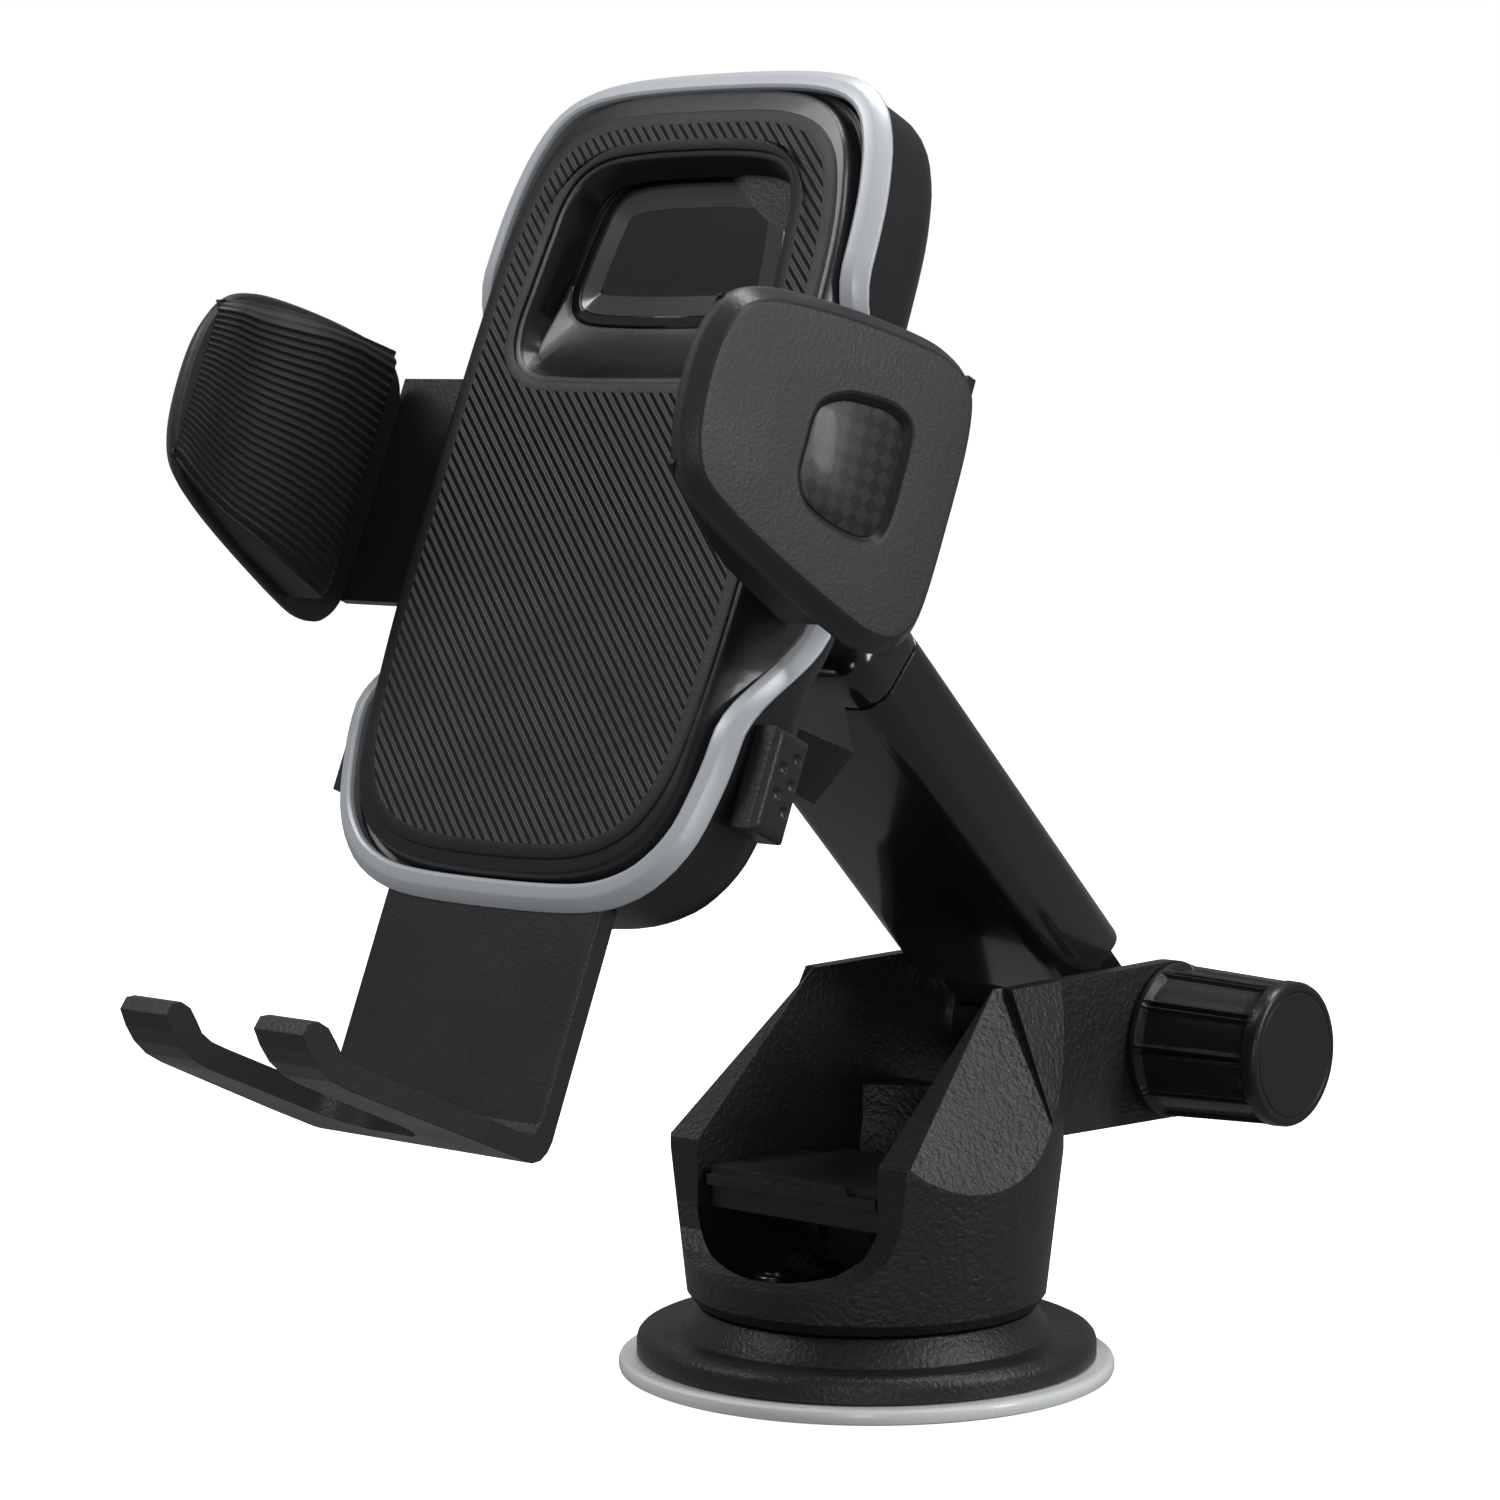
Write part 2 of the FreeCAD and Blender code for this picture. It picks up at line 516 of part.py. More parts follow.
def oval(scale_x, scale_z, back):
    right = [(share_x * half * scale_x, mid + share_z * tall * scale_z) for share_x, share_z in EDGE]
    left = [(-x, z) for x, z in reversed(right[1:-1])]
    return smooth_wire([V(x, back, z) for x, z in right + left])


# Line along which the trim ring runs, as (height, depth): it dips back at the waist.
DIP = [(0, -3.0), (62, -3.0), (66, -2.3), (70, -0.4), (75, 3.0), (80, 6.6), (85, 8.9), (90, 9.6), (112, 9.6),
       (117, 8.6), (122, 5.6), (127, 1.8), (131, -0.9), (135, -2.5), (139, -3.0), (200, -3.0)]


def in_front_of(shift):
    """Everything in front of the ring line moved back by shift."""
    points = [(depth + shift, height) for height, depth in DIP]
    return prism([(-80, 0)] + points + [(-80, 200)], "x", -80, 160)


def behind(shift):
    points = [(depth + shift, height) for height, depth in DIP]
    return prism(points + [(80, 200), (80, 0)], "x", -80, 160)


face = val("cover_face")
shell_wall = val("shell_wall")
foot_half = val("foot_half")
foot_front = val("foot_front")
foot_back = foot_front + val("foot_thick")
gap = val("part_gap") + 0.05
slide_thick = val("slide_thick")
right_layer = val("right_layer")
left_layer = val("left_layer")
slide_low = val("slide_low")
slide_high = val("slide_high")
BUTTON = (52.0, 67.3, -0.4, 7.2)
BAR = (56.0, 64.0)

outer_back = loft([oval(0.975, 0.985, -6), oval(0.975, 0.985, 6)])
outer_back = outer_back.fuse(loft([oval(0.975, 0.985, 6), oval(0.935, 0.963, 10.4), oval(0.82, 0.90, shell_back)]))
hollow_back = loft([oval(0.905, 0.945, -6.5), oval(0.905, 0.945, 6)])
hollow_back = hollow_back.fuse(loft([oval(0.905, 0.945, 6), oval(0.86, 0.92, 9.2), oval(0.76, 0.87, shell_back - shell_wall)]))
openings = [
    box(-foot_half - gap, foot_half + gap, foot_front - gap, foot_back + gap, 20, 97),
    box(20, 60, right_layer - gap, right_layer + slide_thick + gap, slide_low - gap, slide_high + gap),
    box(-60, -20, left_layer - gap, left_layer + slide_thick + gap, slide_low - gap, slide_high + gap),
    both_sides(25, 60, BUTTON[2] - gap, BUTTON[3] + gap, BUTTON[0] - gap, BUTTON[1] + gap),
]
back_solid = outer_back.cut(in_front_of(0.1))
back_solid = back_solid.cut([hollow_back] + openings)
SHELL_SCREWS = [(-24.0, 150.0), (24.0, 150.0), (-22.0, 50.0), (22.0, 50.0)]
for x, z in SHELL_SCREWS:
    back_solid = back_solid.cut(rod(1.5, V(x, 0, z), V(0, 1, 0), 30))
    back_solid = back_solid.cut(rod(2.9, V(x, shell_back - 1.4, z), V(0, 1, 0), 10))
feature("back_shell", back_solid, cradle_frame)
pieces = []
for x, z in SHELL_SCREWS:
    head_disc = rod(2.8, V(x, shell_back - 1.4, z), V(0, 1, 0), 1.2)
    head_disc = head_disc.cut(box(x - 1.7, x + 1.7, shell_back - 0.9, shell_back, z - 0.35, z + 0.35))
    head_disc = head_disc.cut(box(x - 0.35, x + 0.35, shell_back - 0.9, shell_back, z - 1.7, z + 1.7))
    pieces.append(head_disc.fuse(rod(1.5, V(x, 7.0, z), V(0, 1, 0), shell_back - 8.4)))
feature("shell_screws", Part.makeCompound(pieces), cradle_frame)

# Trim ring: a band on the ring line, sloping out towards the back.
band = loft([oval(0.93, 0.958, -10), oval(0.93, 0.958, 16)])
ring_solid = loft([oval(0.985, 0.99, -10), oval(0.985, 0.99, 16)])
ring_hollow = loft([oval(0.915, 0.953, -11), oval(0.915, 0.953, 17)])
wide = loft([oval(1.0, 1.0, -10), oval(1.0, 1.0, 16)])
front_part = ring_solid.common(in_front_of(-0.9)).cut(in_front_of(-2.4))
rear_part = wide.common(in_front_of(0.0)).cut(in_front_of(-0.9))
inner_part = band.common(in_front_of(-2.4)).cut(in_front_of(-2.9))
ring_solid = front_part.fuse([rear_part, inner_part]).cut(ring_hollow)
ring_solid = ring_solid.cut(openings)
feature("trim_ring", ring_solid, cradle_frame)

# Front cover: face plate with a window tub, and skirts that reach back to the ring at the waist.
cover = loft([oval(0.868, 0.925, face), oval(0.882, 0.932, face + 0.7), oval(0.895, 0.94, 12)])
cover = cover.common(in_front_of(-0.05))
cover_hollow = loft([oval(0.83, 0.90, face + 2.5), oval(0.835, 0.903, 13)])
WINDOW = [(0, 153.9), (9, 153.6), (16, 152.4), (20.3, 149.4), (22.0, 144.0), (23.2, 136), (24.3, 128),
          (24.0, 122.4), (20.5, 118.8), (14, 117.8), (0, 117.4)]
LENS = [(0, 152.0), (9, 151.8), (14.6, 150.8), (17.8, 148.0), (19.0, 141.0), (20.2, 133.0), (19.6, 130.4),
        (16.6, 129.2), (8, 128.9), (0, 128.8)]


def window_wire(points, grow, back):
    middle = V(0, 0, 137.0)
    right = [(x + math.copysign(grow, x) * (1 if x > 0.1 else 0), z + grow * (1 if z > middle.z else -1))
             for x, z in points]
    left = [(-x, z) for x, z in reversed(right[1:-1])]
    return smooth_wire([V(x, back, z) for x, z in right + left])


lens_back = -1.0
tub = loft([window_wire(WINDOW, 1.8, face + 1.0), window_wire(WINDOW, 1.8, lens_back + 1.4)])
cover = cover.cut(cover_hollow).fuse(tub)
recess = loft([window_wire(WINDOW, 0, face - 0.2), window_wire(WINDOW, -0.1, face + 0.6)])
recess = recess.fuse(loft([window_wire(WINDOW, -0.1, face + 0.6), window_wire(WINDOW[:6] + [(23.6, 130.2), (22.8, 128.4),
                          (20.0, 127.6), (14, 127.3), (0, 127.2)], -1.1, lens_back - 0.9)]))
cover = cover.cut(recess)
lens_seat = loft([window_wire(LENS, 0.1, lens_back - 1.2), window_wire(LENS, 0.1, lens_back)])
cover = cover.cut(lens_seat)
pad_back = face + 0.6
pad_front = face - val("pad_proud")


def face_outline(grow, front, back):
    solid = loft([oval((33.1 + grow) / half, (60.0 + grow) / tall, front), oval((33.1 + grow) / half, (60.0 + grow) / tall, back)])
    return solid


cover = cover.cut(face_outline(0.05, face - 1, pad_back))
for tool in openings:
    cover = cover.cut(tool)
feature("front_cover", cover, cradle_frame)

rubber = face_outline(0, pad_front, pad_back)
rubber = rubber.cut(loft([window_wire(WINDOW, 0.35, face - 2), window_wire(WINDOW, 0.35, face + 2)]))
feature("face_pad", rubber, cradle_frame)
lens = loft([window_wire(LENS, 0, lens_back - 1.1), window_wire(LENS, 0, lens_back)])
feature("window_lens", lens, cradle_frame)

# ---------------------------------------------------------------- foot
bottom = 0.0
foot_rise = val("foot_rise")
foot_top = foot_rise
thick = val("foot_thick")
reach = val("prong_reach")
inner_edge = val("prong_inner")
profile = [(foot_back, bottom + 4.0), (foot_back - 0.35, bottom + 2.4), (foot_back - 1.3, bottom + 0.9),
           (foot_back - 2.8, bottom + 0.1), (foot_back - 4.2, bottom), (-38.0, bottom), (-41.5, bottom + 0.3),
           (-44.6, bottom + 1.3), (-47.0, bottom + 2.8), (-reach, bottom + 4.6), (-reach + 0.5, bottom + 6.5),
           (-reach + 2.0, bottom + 7.2), (-45.0, bottom + 6.9), (-43.2, bottom + 5.6), (-41.6, bottom + 4.3),
           (-39.4, bottom + thick + 0.1), (-36.5, bottom + thick), (foot_front - 1.8, bottom + thick),
           (foot_front - 0.6, bottom + thick + 0.5), (foot_front, bottom + thick + 1.8), (foot_front, foot_top),
           (foot_back, foot_top)]
foot = prism(profile, "x", -foot_half, 2 * foot_half)
gap_half = inner_edge
prong_slot = box(-gap_half, gap_half, -80, -11.5 - gap_half + 3, -5, 30)
prong_slot = prong_slot.fuse(rod(gap_half, V(0, -11.5 - gap_half + 3, -5), V(0, 0, 1), 35))
prong_slot = prong_slot.common(box(-gap_half, gap_half, -80, -9.5, -5, 30))
taper = prism([(foot_half + 0.1, -12), (foot_half + 20, -12), (foot_half + 20, -60), (18.2, -60), (18.2, -reach)], "z", -5, 40)
foot = foot.cut([prong_slot, taper, mirrored(taper)])
foot = round_edges(foot, 0.6, lambda edge: edge.BoundBox.ZLength > 55 and edge.BoundBox.YMax < foot_front + 0.1)
feature("foot_plate", foot, cradle_frame)

# ---------------------------------------------------------------- gear train
module = val("gear_module")
teeth = int(val("gear_teeth"))
pitch_radius = module * teeth / 2
pitch = math.pi * module
gear_z = val("gear_height")
pressure = math.radians(20)
base_radius = pitch_radius * math.cos(pressure)
tip_radius = pitch_radius + 0.8 * module
root_radius = pitch_radius - 1.1 * module
share = 0.40


def flank(radius):
    """Half angle of a thinned involute tooth at a radius."""
    turn = math.acos(min(1.0, base_radius / max(radius, base_radius)))
    involute = math.tan(turn) - turn
    start = math.tan(pressure) - pressure
    return share * math.pi / teeth + start - involute


gear_points = []
for i in range(teeth):
    middle = -math.pi / 2 + 2 * math.pi * i / teeth
    radii = [root_radius, base_radius + 0.01, pitch_radius, tip_radius]
    for r in radii:
        turn = middle - flank(r)
        gear_points.append((r * math.cos(turn), gear_z + r * math.sin(turn)))
    for r in reversed(radii):
        turn = middle + flank(r)
        gear_points.append((r * math.cos(turn), gear_z + r * math.sin(turn)))
gear = prism(gear_points, "y", right_layer + 0.05, left_layer + slide_thick - right_layer - 0.1)
gear_post = 2.0
gear = gear.cut(rod(gear_post + val("run_gap"), V(0, -5, gear_z), V(0, 1, 0), 20))
feature("pinion_gear", gear, cradle_frame)
post = doc.addObject("Part::Cylinder", "gear_post")
post.Radius = gear_post
post.setExpression("Height", "Sizes.shell_back - Sizes.shell_wall - 1.3")
post_frame = FreeCAD.Placement(V(0, 1.3, gear_z), FreeCAD.Rotation(V(1, 0, 0), -90))
keep(post, "gear_post", cradle_frame.multiply(post_frame))


def rack(direction, layer):
    """Slide plate with a toothed bar; direction +1 faces up (right clamp), -1 faces down (left clamp)."""
    line = gear_z - direction * pitch_radius
    points = []
    first = -4
    last = 7
    tall_tooth = 0.75 * module
    deep = 0.95 * module
    slope = math.tan(pressure)
    for i in range(first, last):
        middle = (i + 0.5) * pitch
        w = share * pitch / 2
        points.append((middle - w - deep * slope, line - direction * deep))
        points.append((middle - w + tall_tooth * slope, line + direction * tall_tooth))
        points.append((middle + w - tall_tooth * slope, line + direction * tall_tooth))
        points.append((middle + w + deep * slope, line - direction * deep))
    start_x = points[0][0] - 1.0
    end_x = 26.0
    points.append((end_x, line - direction * deep))
    points.append((end_x, line - direction * (deep + 7.4)))
    points.append((start_x, line - direction * (deep + 7.4)))
    points.append((start_x, line - direction * deep))
    plate = box(24.0, val("wing_root") + 0.8, layer, layer + slide_thick, slide_low, slide_high)
    return prism(points, "y", layer, slide_thick).fuse(plate)


# ---------------------------------------------------------------- clamp wings
WING = [(4.4, 86.0), (5.0, 100.0), (4.6, 113.0), (2.2, 120.2), (-4.0, 123.0), (-14.0, 122.6), (-28.0, 120.4),
        (-38.0, 117.8), (-43.4, 114.2), (-46.0, 108.0), (-46.4, 100.0), (-45.2, 92.5), (-42.0, 87.3),
        (-36.0, 84.4), (-26.0, 81.6), (-12.0, 78.6), (-4.5, 77.8), (1.2, 79.8)]
BADGE = [(-21.2, 108.9), (-25.0, 105.6), (-25.4, 100.0), (-25.0, 95.2), (-22.0, 91.9), (-16.0, 90.8), (-10.4, 91.3),
         (-7.6, 94.0), (-7.0, 101.5), (-7.6, 108.8), (-11.4, 110.9), (-16.5, 110.3)]
wing_middle = (-20.7, 100.4)
badge_middle = (-16.2, 100.8)
cant = math.degrees(math.atan(val("wing_cant")))
wing_frame = FreeCAD.Placement(V(val("wing_root"), 4.0, 0), FreeCAD.Rotation(V(0, 0, 1), -cant))
wing_thick = val("wing_thick")


def wing_wire(points, middle, share_y, share_z, out):
    spots = [V(out, (middle[0] + (y - middle[0]) * share_y) - 4.0, middle[1] + (z - middle[1]) * share_z)
             for y, z in points]
    return smooth_wire(spots)


def placed(shape):
    shape.Placement = wing_frame
    return shape


def wing_parts():
    wing = loft([wing_wire(WING, wing_middle, 1, 1, 0), wing_wire(WING, wing_middle, 1, 1, 1.2)])
    wing = wing.fuse(loft([wing_wire(WING, wing_middle, 1, 1, 1.2), wing_wire(WING, wing_middle, 0.985, 0.983, 1.6),
                           wing_wire(WING, wing_middle, 0.90, 0.885, wing_thick)]))
    dish = loft([wing_wire(BADGE, badge_middle, 0.72, 0.74, wing_thick - 1.5),
                 wing_wire(BADGE, badge_middle, 1.0, 1.0, wing_thick + 0.02)])
    wing = wing.cut(dish)
    badge = loft([wing_wire(BADGE, badge_middle, 0.72, 0.74, wing_thick - 1.5),
                  wing_wire(BADGE, badge_middle, 0.70, 0.72, wing_thick - 1.2)])
    limit = loft([wing_wire(WING, wing_middle, 0.915, 0.905, -20), wing_wire(WING, wing_middle, 0.915, 0.905, 0)])
    placed(wing)
    placed(badge)
    placed(limit)
    inside = [(60, -9.5), (45.0, -9.5), (44.7, -12), (44.6, -24), (45.2, -28), (46.4, -32), (47.2, -36),
              (47.3, -40), (48.4, -43.4), (60, -43.4)]
    cushion = prism(inside, "z", 70, 60).common(limit)
    return wing, cushion, badge


wing, cushion, badge = wing_parts()
feature("right_slide", rack(1, right_layer).cut(wing), cradle_frame)
feature("left_slide", mirrored(rack(-1, left_layer).cut(wing)), cradle_frame)
for label, shape in (("wing", wing), ("pad", cushion), ("badge", badge)):
    feature("right_" + label, shape.copy(), cradle_frame)
    feature("left_" + label, mirrored(shape), cradle_frame)

# ---------------------------------------------------------------- release buttons and latch
button_out = 42.5
cap_solid = box(37.4, button_out, BUTTON[2], BUTTON[3], BUTTON[0], BUTTON[1])
cap_solid = round_edges(cap_solid, 1.2, lambda edge: edge.BoundBox.XMin > button_out - 0.01
                        or (edge.BoundBox.YMax < BUTTON[2] + 0.01 and edge.BoundBox.ZLength > 5))
dimples = [(4.9, 64.0), (2.5, 62.0), (5.1, 60.2), (2.6, 58.2), (5.0, 56.2)]
cap_solid = cap_solid.cut([Part.makeSphere(1.1, V(button_out + 0.55, y, z)) for y, z in dimples])
push_bar = prism([(18.0, BAR[1]), (26.0, BAR[0]), (38.0, BAR[0]), (38.0, BAR[1])], "y", right_layer, slide_thick)
button = cap_solid.fuse(push_bar)
feature("right_button", button, cradle_frame)
feature("left_button", mirrored(button), cradle_frame)
latch = prism([(7, 89.4), (7, 70), (11.4, 70), (25.4, 56), (25.4, 52.5), (-25.4, 52.5), (-25.4, 56), (-11.4, 70),
               (-7, 70), (-7, 89.4)], "y", right_layer, slide_thick)
feature("latch_plate", latch, cradle_frame)

# ---------------------------------------------------------------- check and write
doc.recompute()
for obj in doc.Objects:
    if "Invalid" in obj.State or "Error" in obj.State:
        raise RuntimeError("bad object " + obj.Label)
os.makedirs("parts", exist_ok=True)
for obj in nodes:
    shape = obj.Shape
    if shape.isNull() or not shape.isValid():
        raise RuntimeError("bad shape " + obj.Label)
    shape.exportStep("parts/%s.step" % obj.Label)
    print(obj.Label, len(shape.Solids), round(shape.Volume, 1))
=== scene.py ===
import json
import math

import bmesh
import bpy
from mathutils import Matrix, Vector


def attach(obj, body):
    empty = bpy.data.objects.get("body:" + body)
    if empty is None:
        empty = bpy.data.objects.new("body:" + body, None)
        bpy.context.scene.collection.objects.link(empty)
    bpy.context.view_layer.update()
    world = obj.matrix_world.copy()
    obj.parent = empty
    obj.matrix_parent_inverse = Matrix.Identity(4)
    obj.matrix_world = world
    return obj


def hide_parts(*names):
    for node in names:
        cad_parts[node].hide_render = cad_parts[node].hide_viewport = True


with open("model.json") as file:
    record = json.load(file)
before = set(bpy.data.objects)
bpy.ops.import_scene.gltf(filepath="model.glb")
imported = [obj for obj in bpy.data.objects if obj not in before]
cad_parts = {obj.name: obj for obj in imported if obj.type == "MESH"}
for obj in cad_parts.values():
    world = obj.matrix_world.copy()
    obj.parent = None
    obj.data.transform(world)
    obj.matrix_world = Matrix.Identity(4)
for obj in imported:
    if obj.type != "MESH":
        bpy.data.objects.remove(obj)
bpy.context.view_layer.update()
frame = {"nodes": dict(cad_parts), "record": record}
nodes = frame["nodes"]
MM = 0.001

# ---------------------------------------------------------------- frames
# Lengths are in millimetres and angles in degrees. Each group of pieces is drawn in its own frame:
# the arm's starts at the pivot, the cradle's at the foot of its centre line, the wing's on its wall.
PIVOT = Vector((0, 54.1, 49.1))
ARM_LEAN = 46.3
CRADLE_LEAN = -23.5
BALL_IN_ARM = Vector((0, -22.5, 105.9))
BALL_IN_CRADLE = Vector((0, 32.4, 76.2))
WING_OUT = 56.6
WING_BACK = 4.0
WING_SLOPE = 0.158

ARM = Matrix.Translation(PIVOT) @ Matrix.Rotation(math.radians(ARM_LEAN), 4, "X")
BALL = ARM @ BALL_IN_ARM
TURN = Matrix.Rotation(math.radians(CRADLE_LEAN), 4, "X")
CRADLE = Matrix.Translation(BALL - TURN @ BALL_IN_CRADLE) @ TURN
WORLD = Matrix.Identity(4)
KNOB = Matrix.Translation(PIVOT) @ Matrix.Rotation(math.radians(90), 4, "Y")
WING_AT = Matrix.Translation((WING_OUT, WING_BACK, 0)) @ Matrix.Rotation(-math.atan(WING_SLOPE), 4, "Z")
FLIP = Matrix.Diagonal((-1, 1, 1, 1))


# ---------------------------------------------------------------- materials
EDGE_RADIUS = 0.0003  # metres
COAT_ROUGH = 0.08


def shader(name, color, rough, metallic=0.0, coat=0.0, transmission=0.0):
    """Plain material, with a node that softens the look of sharp edges."""
    mat = bpy.data.materials.new(name)
    mat.use_nodes = True
    tree = mat.node_tree
    body = tree.nodes["Principled BSDF"]
    body.inputs["Base Color"].default_value = (*color, 1)
    body.inputs["Roughness"].default_value = rough
    body.inputs["Metallic"].default_value = metallic
    body.inputs["Coat Weight"].default_value = coat
    body.inputs["Coat Roughness"].default_value = COAT_ROUGH
    body.inputs["Transmission Weight"].default_value = transmission
    bevel = tree.nodes.new("ShaderNodeBevel")
    bevel.samples = 4
    bevel.inputs["Radius"].default_value = EDGE_RADIUS
    return mat, tree, body, bevel


def speckle(tree, scale, detail=3.0):
    """Noise fixed to the piece."""
    coords = tree.nodes.new("ShaderNodeTexCoord")
    noise = tree.nodes.new("ShaderNodeTexNoise")
    noise.inputs["Scale"].default_value = scale
    noise.inputs["Detail"].default_value = detail
    tree.links.new(coords.outputs["Object"], noise.inputs["Vector"])
    return noise


def ramp(tree, source, low, high, start=0.35, end=0.65):
    """Stretches the middle of a noise to run from low to high."""
    node = tree.nodes.new("ShaderNodeMapRange")
    node.inputs["From Min"].default_value = start
    node.inputs["From Max"].default_value = end
    node.inputs["To Min"].default_value = low
    node.inputs["To Max"].default_value = high
    tree.links.new(source, node.inputs["Value"])
    return node.outputs["Result"]


def bumped(tree, body, bevel, height, distance):
    """Raises the surface by a height pattern, on top of the softened edges."""
    bump = tree.nodes.new("ShaderNodeBump")
    bump.inputs["Distance"].default_value = distance
    bump.inputs["Strength"].default_value = 1.0
    tree.links.new(height, bump.inputs["Height"])
    tree.links.new(bevel.outputs["Normal"], bump.inputs["Normal"])
    tree.links.new(bump.outputs["Normal"], body.inputs["Normal"])


def grained(name, color, rough, grain, depth, spread=0.08, **extra):
    """Moulded or metal surface: fine grain in the height and slow wear in the roughness."""
    mat, tree, body, bevel = shader(name, color, rough, **extra)
    fine = speckle(tree, grain)
    slow = speckle(tree, 60.0, 5.0)
    worn = ramp(tree, slow.outputs["Fac"], rough - spread / 2, rough + spread / 2)
    tree.links.new(worn, body.inputs["Roughness"])
    bumped(tree, body, bevel, fine.outputs["Fac"], depth)
    return mat


def striped(name, color, rough, pitch, angle, depth, layer):
    """Fine straight ribs across the piece's own map, which is in millimetres."""
    mat, tree, body, bevel = shader(name, color, rough)
    uv = tree.nodes.new("ShaderNodeUVMap")
    uv.uv_map = layer
    split = tree.nodes.new("ShaderNodeVectorMath")
    split.operation = "DOT_PRODUCT"
    wave = 2 * math.pi / pitch
    split.inputs[1].default_value = (wave * math.cos(angle), wave * math.sin(angle), 0)
    tree.links.new(uv.outputs["UV"], split.inputs[0])
    sine = tree.nodes.new("ShaderNodeMath")
    sine.operation = "SINE"
    tree.links.new(split.outputs["Value"], sine.inputs[0])
    bumped(tree, body, bevel, sine.outputs["Value"], depth)
    slow = speckle(tree, 70.0, 4.0)
    worn = ramp(tree, slow.outputs["Fac"], rough - 0.05, rough + 0.05)
    tree.links.new(worn, body.inputs["Roughness"])
    return mat


def woven(name):
    """Two-tone twill weave."""
    mat, tree, body, bevel = shader(name, (0.03, 0.03, 0.033), 0.42, coat=0.1)
    uv = tree.nodes.new("ShaderNodeUVMap")
    uv.uv_map = "flat"
    checks = tree.nodes.new("ShaderNodeTexChecker")
    checks.inputs["Scale"].default_value = 0.5
    checks.inputs["Color1"].default_value = (0.012, 0.012, 0.014, 1)
    checks.inputs["Color2"].default_value = (0.030, 0.030, 0.033, 1)
    turn = tree.nodes.new("ShaderNodeMapping")
    turn.inputs["Rotation"].default_value = (0, 0, math.radians(38))
    tree.links.new(uv.outputs["UV"], turn.inputs["Vector"])
    tree.links.new(turn.outputs["Vector"], checks.inputs["Vector"])
    tree.links.new(checks.outputs["Color"], body.inputs["Base Color"])
    bumped(tree, body, bevel, checks.outputs["Fac"], 0.00008)
    return mat


# Moulded and metal surfaces give colour, roughness, how fine the grain is and its depth in metres.
M = {
    "clear_gel": grained("clear_gel", (0.86, 0.89, 0.88), 0.28, 900, 0.00001, transmission=0.10, coat=0.3),
    "fine_grain": grained("fine_grain", (0.014, 0.014, 0.016), 0.40, 1300, 0.00022),
    "satin_black": grained("satin_black", (0.012, 0.012, 0.014), 0.38, 1800, 0.00006),
    "steel": grained("steel", (0.50, 0.50, 0.52), 0.30, 1200, 0.00001, metallic=1.0),
    "rubber_black": grained("rubber_black", (0.010, 0.010, 0.011), 0.50, 1400, 0.00005),
    "knob_black": grained("knob_black", (0.011, 0.011, 0.013), 0.33, 1600, 0.00005),
    "brass": grained("brass", (0.72, 0.52, 0.22), 0.30, 1200, 0.00001, metallic=1.0),
    "gloss_black": grained("gloss_black", (0.010, 0.010, 0.012), 0.17, 500, 0.000004, spread=0.04, coat=0.5),
    "liner": grained("liner", (0.62, 0.62, 0.60), 0.45, 900, 0.00003),
    "silver": grained("silver", (0.62, 0.65, 0.69), 0.36, 1500, 0.00002, metallic=0.15),
    "lens": grained("lens", (0.006, 0.006, 0.008), 0.07, 300, 0.000001, spread=0.02, coat=0.8),
    # Lighter than the lens itself: a painted highlight for the light on the lens's bevel facets, not a
    # different glass.
    "lens_bevel_painted_highlight": grained("lens_bevel_painted_highlight", (0.045, 0.045, 0.048), 0.12, 300, 0.000001, spread=0.02, coat=0.8),
    "nut_black": grained("nut_black", (0.010, 0.010, 0.011), 0.36, 1500, 0.00006),
    "satin_grey": grained("satin_grey", (0.020, 0.021, 0.023), 0.34, 1700, 0.00005),
    "clamp_grey": grained("clamp_grey", (0.030, 0.031, 0.034), 0.46, 1600, 0.00006),
    "clamp_edge": grained("clamp_edge", (0.020, 0.021, 0.023), 0.32, 1600, 0.00005),
    "twill": woven("twill"),
    "ribbed": striped("ribbed", (0.011, 0.011, 0.012), 0.48, 1.34, math.radians(45), 0.00016, "flat"),
    "pebble": grained("pebble", (0.016, 0.016, 0.018), 0.42, 1100, 0.00035),
    "cover_black": grained("cover_black", (0.012, 0.012, 0.014), 0.30, 900, 0.00002, coat=0.15),
    "floor": grained("floor", (0.93, 0.93, 0.93), 0.6, 200, 0.00001),
}

# Every CAD node takes the material of its slot. The housing's casting is coarser than its slot's.
for entry in frame["record"]["subparts"]:
    node = nodes[entry["node"]]
    node.data.materials.clear()
    node.data.materials.append(M[entry["material_slot"]])
nodes["base_housing"].data.materials[0] = M["pebble"]


# ---------------------------------------------------------------- building helpers
def finish_piece(name, bm, place, mats, body, replaced, smooth):
    """Turns a bmesh in millimetres into a placed piece that stands for its CAD node.

    Edges that turn by more than smooth degrees stay sharp.
    """
    bmesh.ops.transform(bm, matrix=place, verts=bm.verts)
    bmesh.ops.scale(bm, vec=(MM, MM, MM), verts=bm.verts)
    bmesh.ops.recalc_face_normals(bm, faces=bm.faces)
    mesh = bpy.data.meshes.new(name)
    bm.to_mesh(mesh)
    bm.free()
    obj = bpy.data.objects.new(name, mesh)
    bpy.context.scene.collection.objects.link(obj)
    for mat in mats:
        mesh.materials.append(M[mat])
    mesh.shade_smooth()
    mesh.set_sharp_from_angle(angle=math.radians(smooth))
    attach(obj, body)
    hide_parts(replaced)


CURVE_STEPS = 24


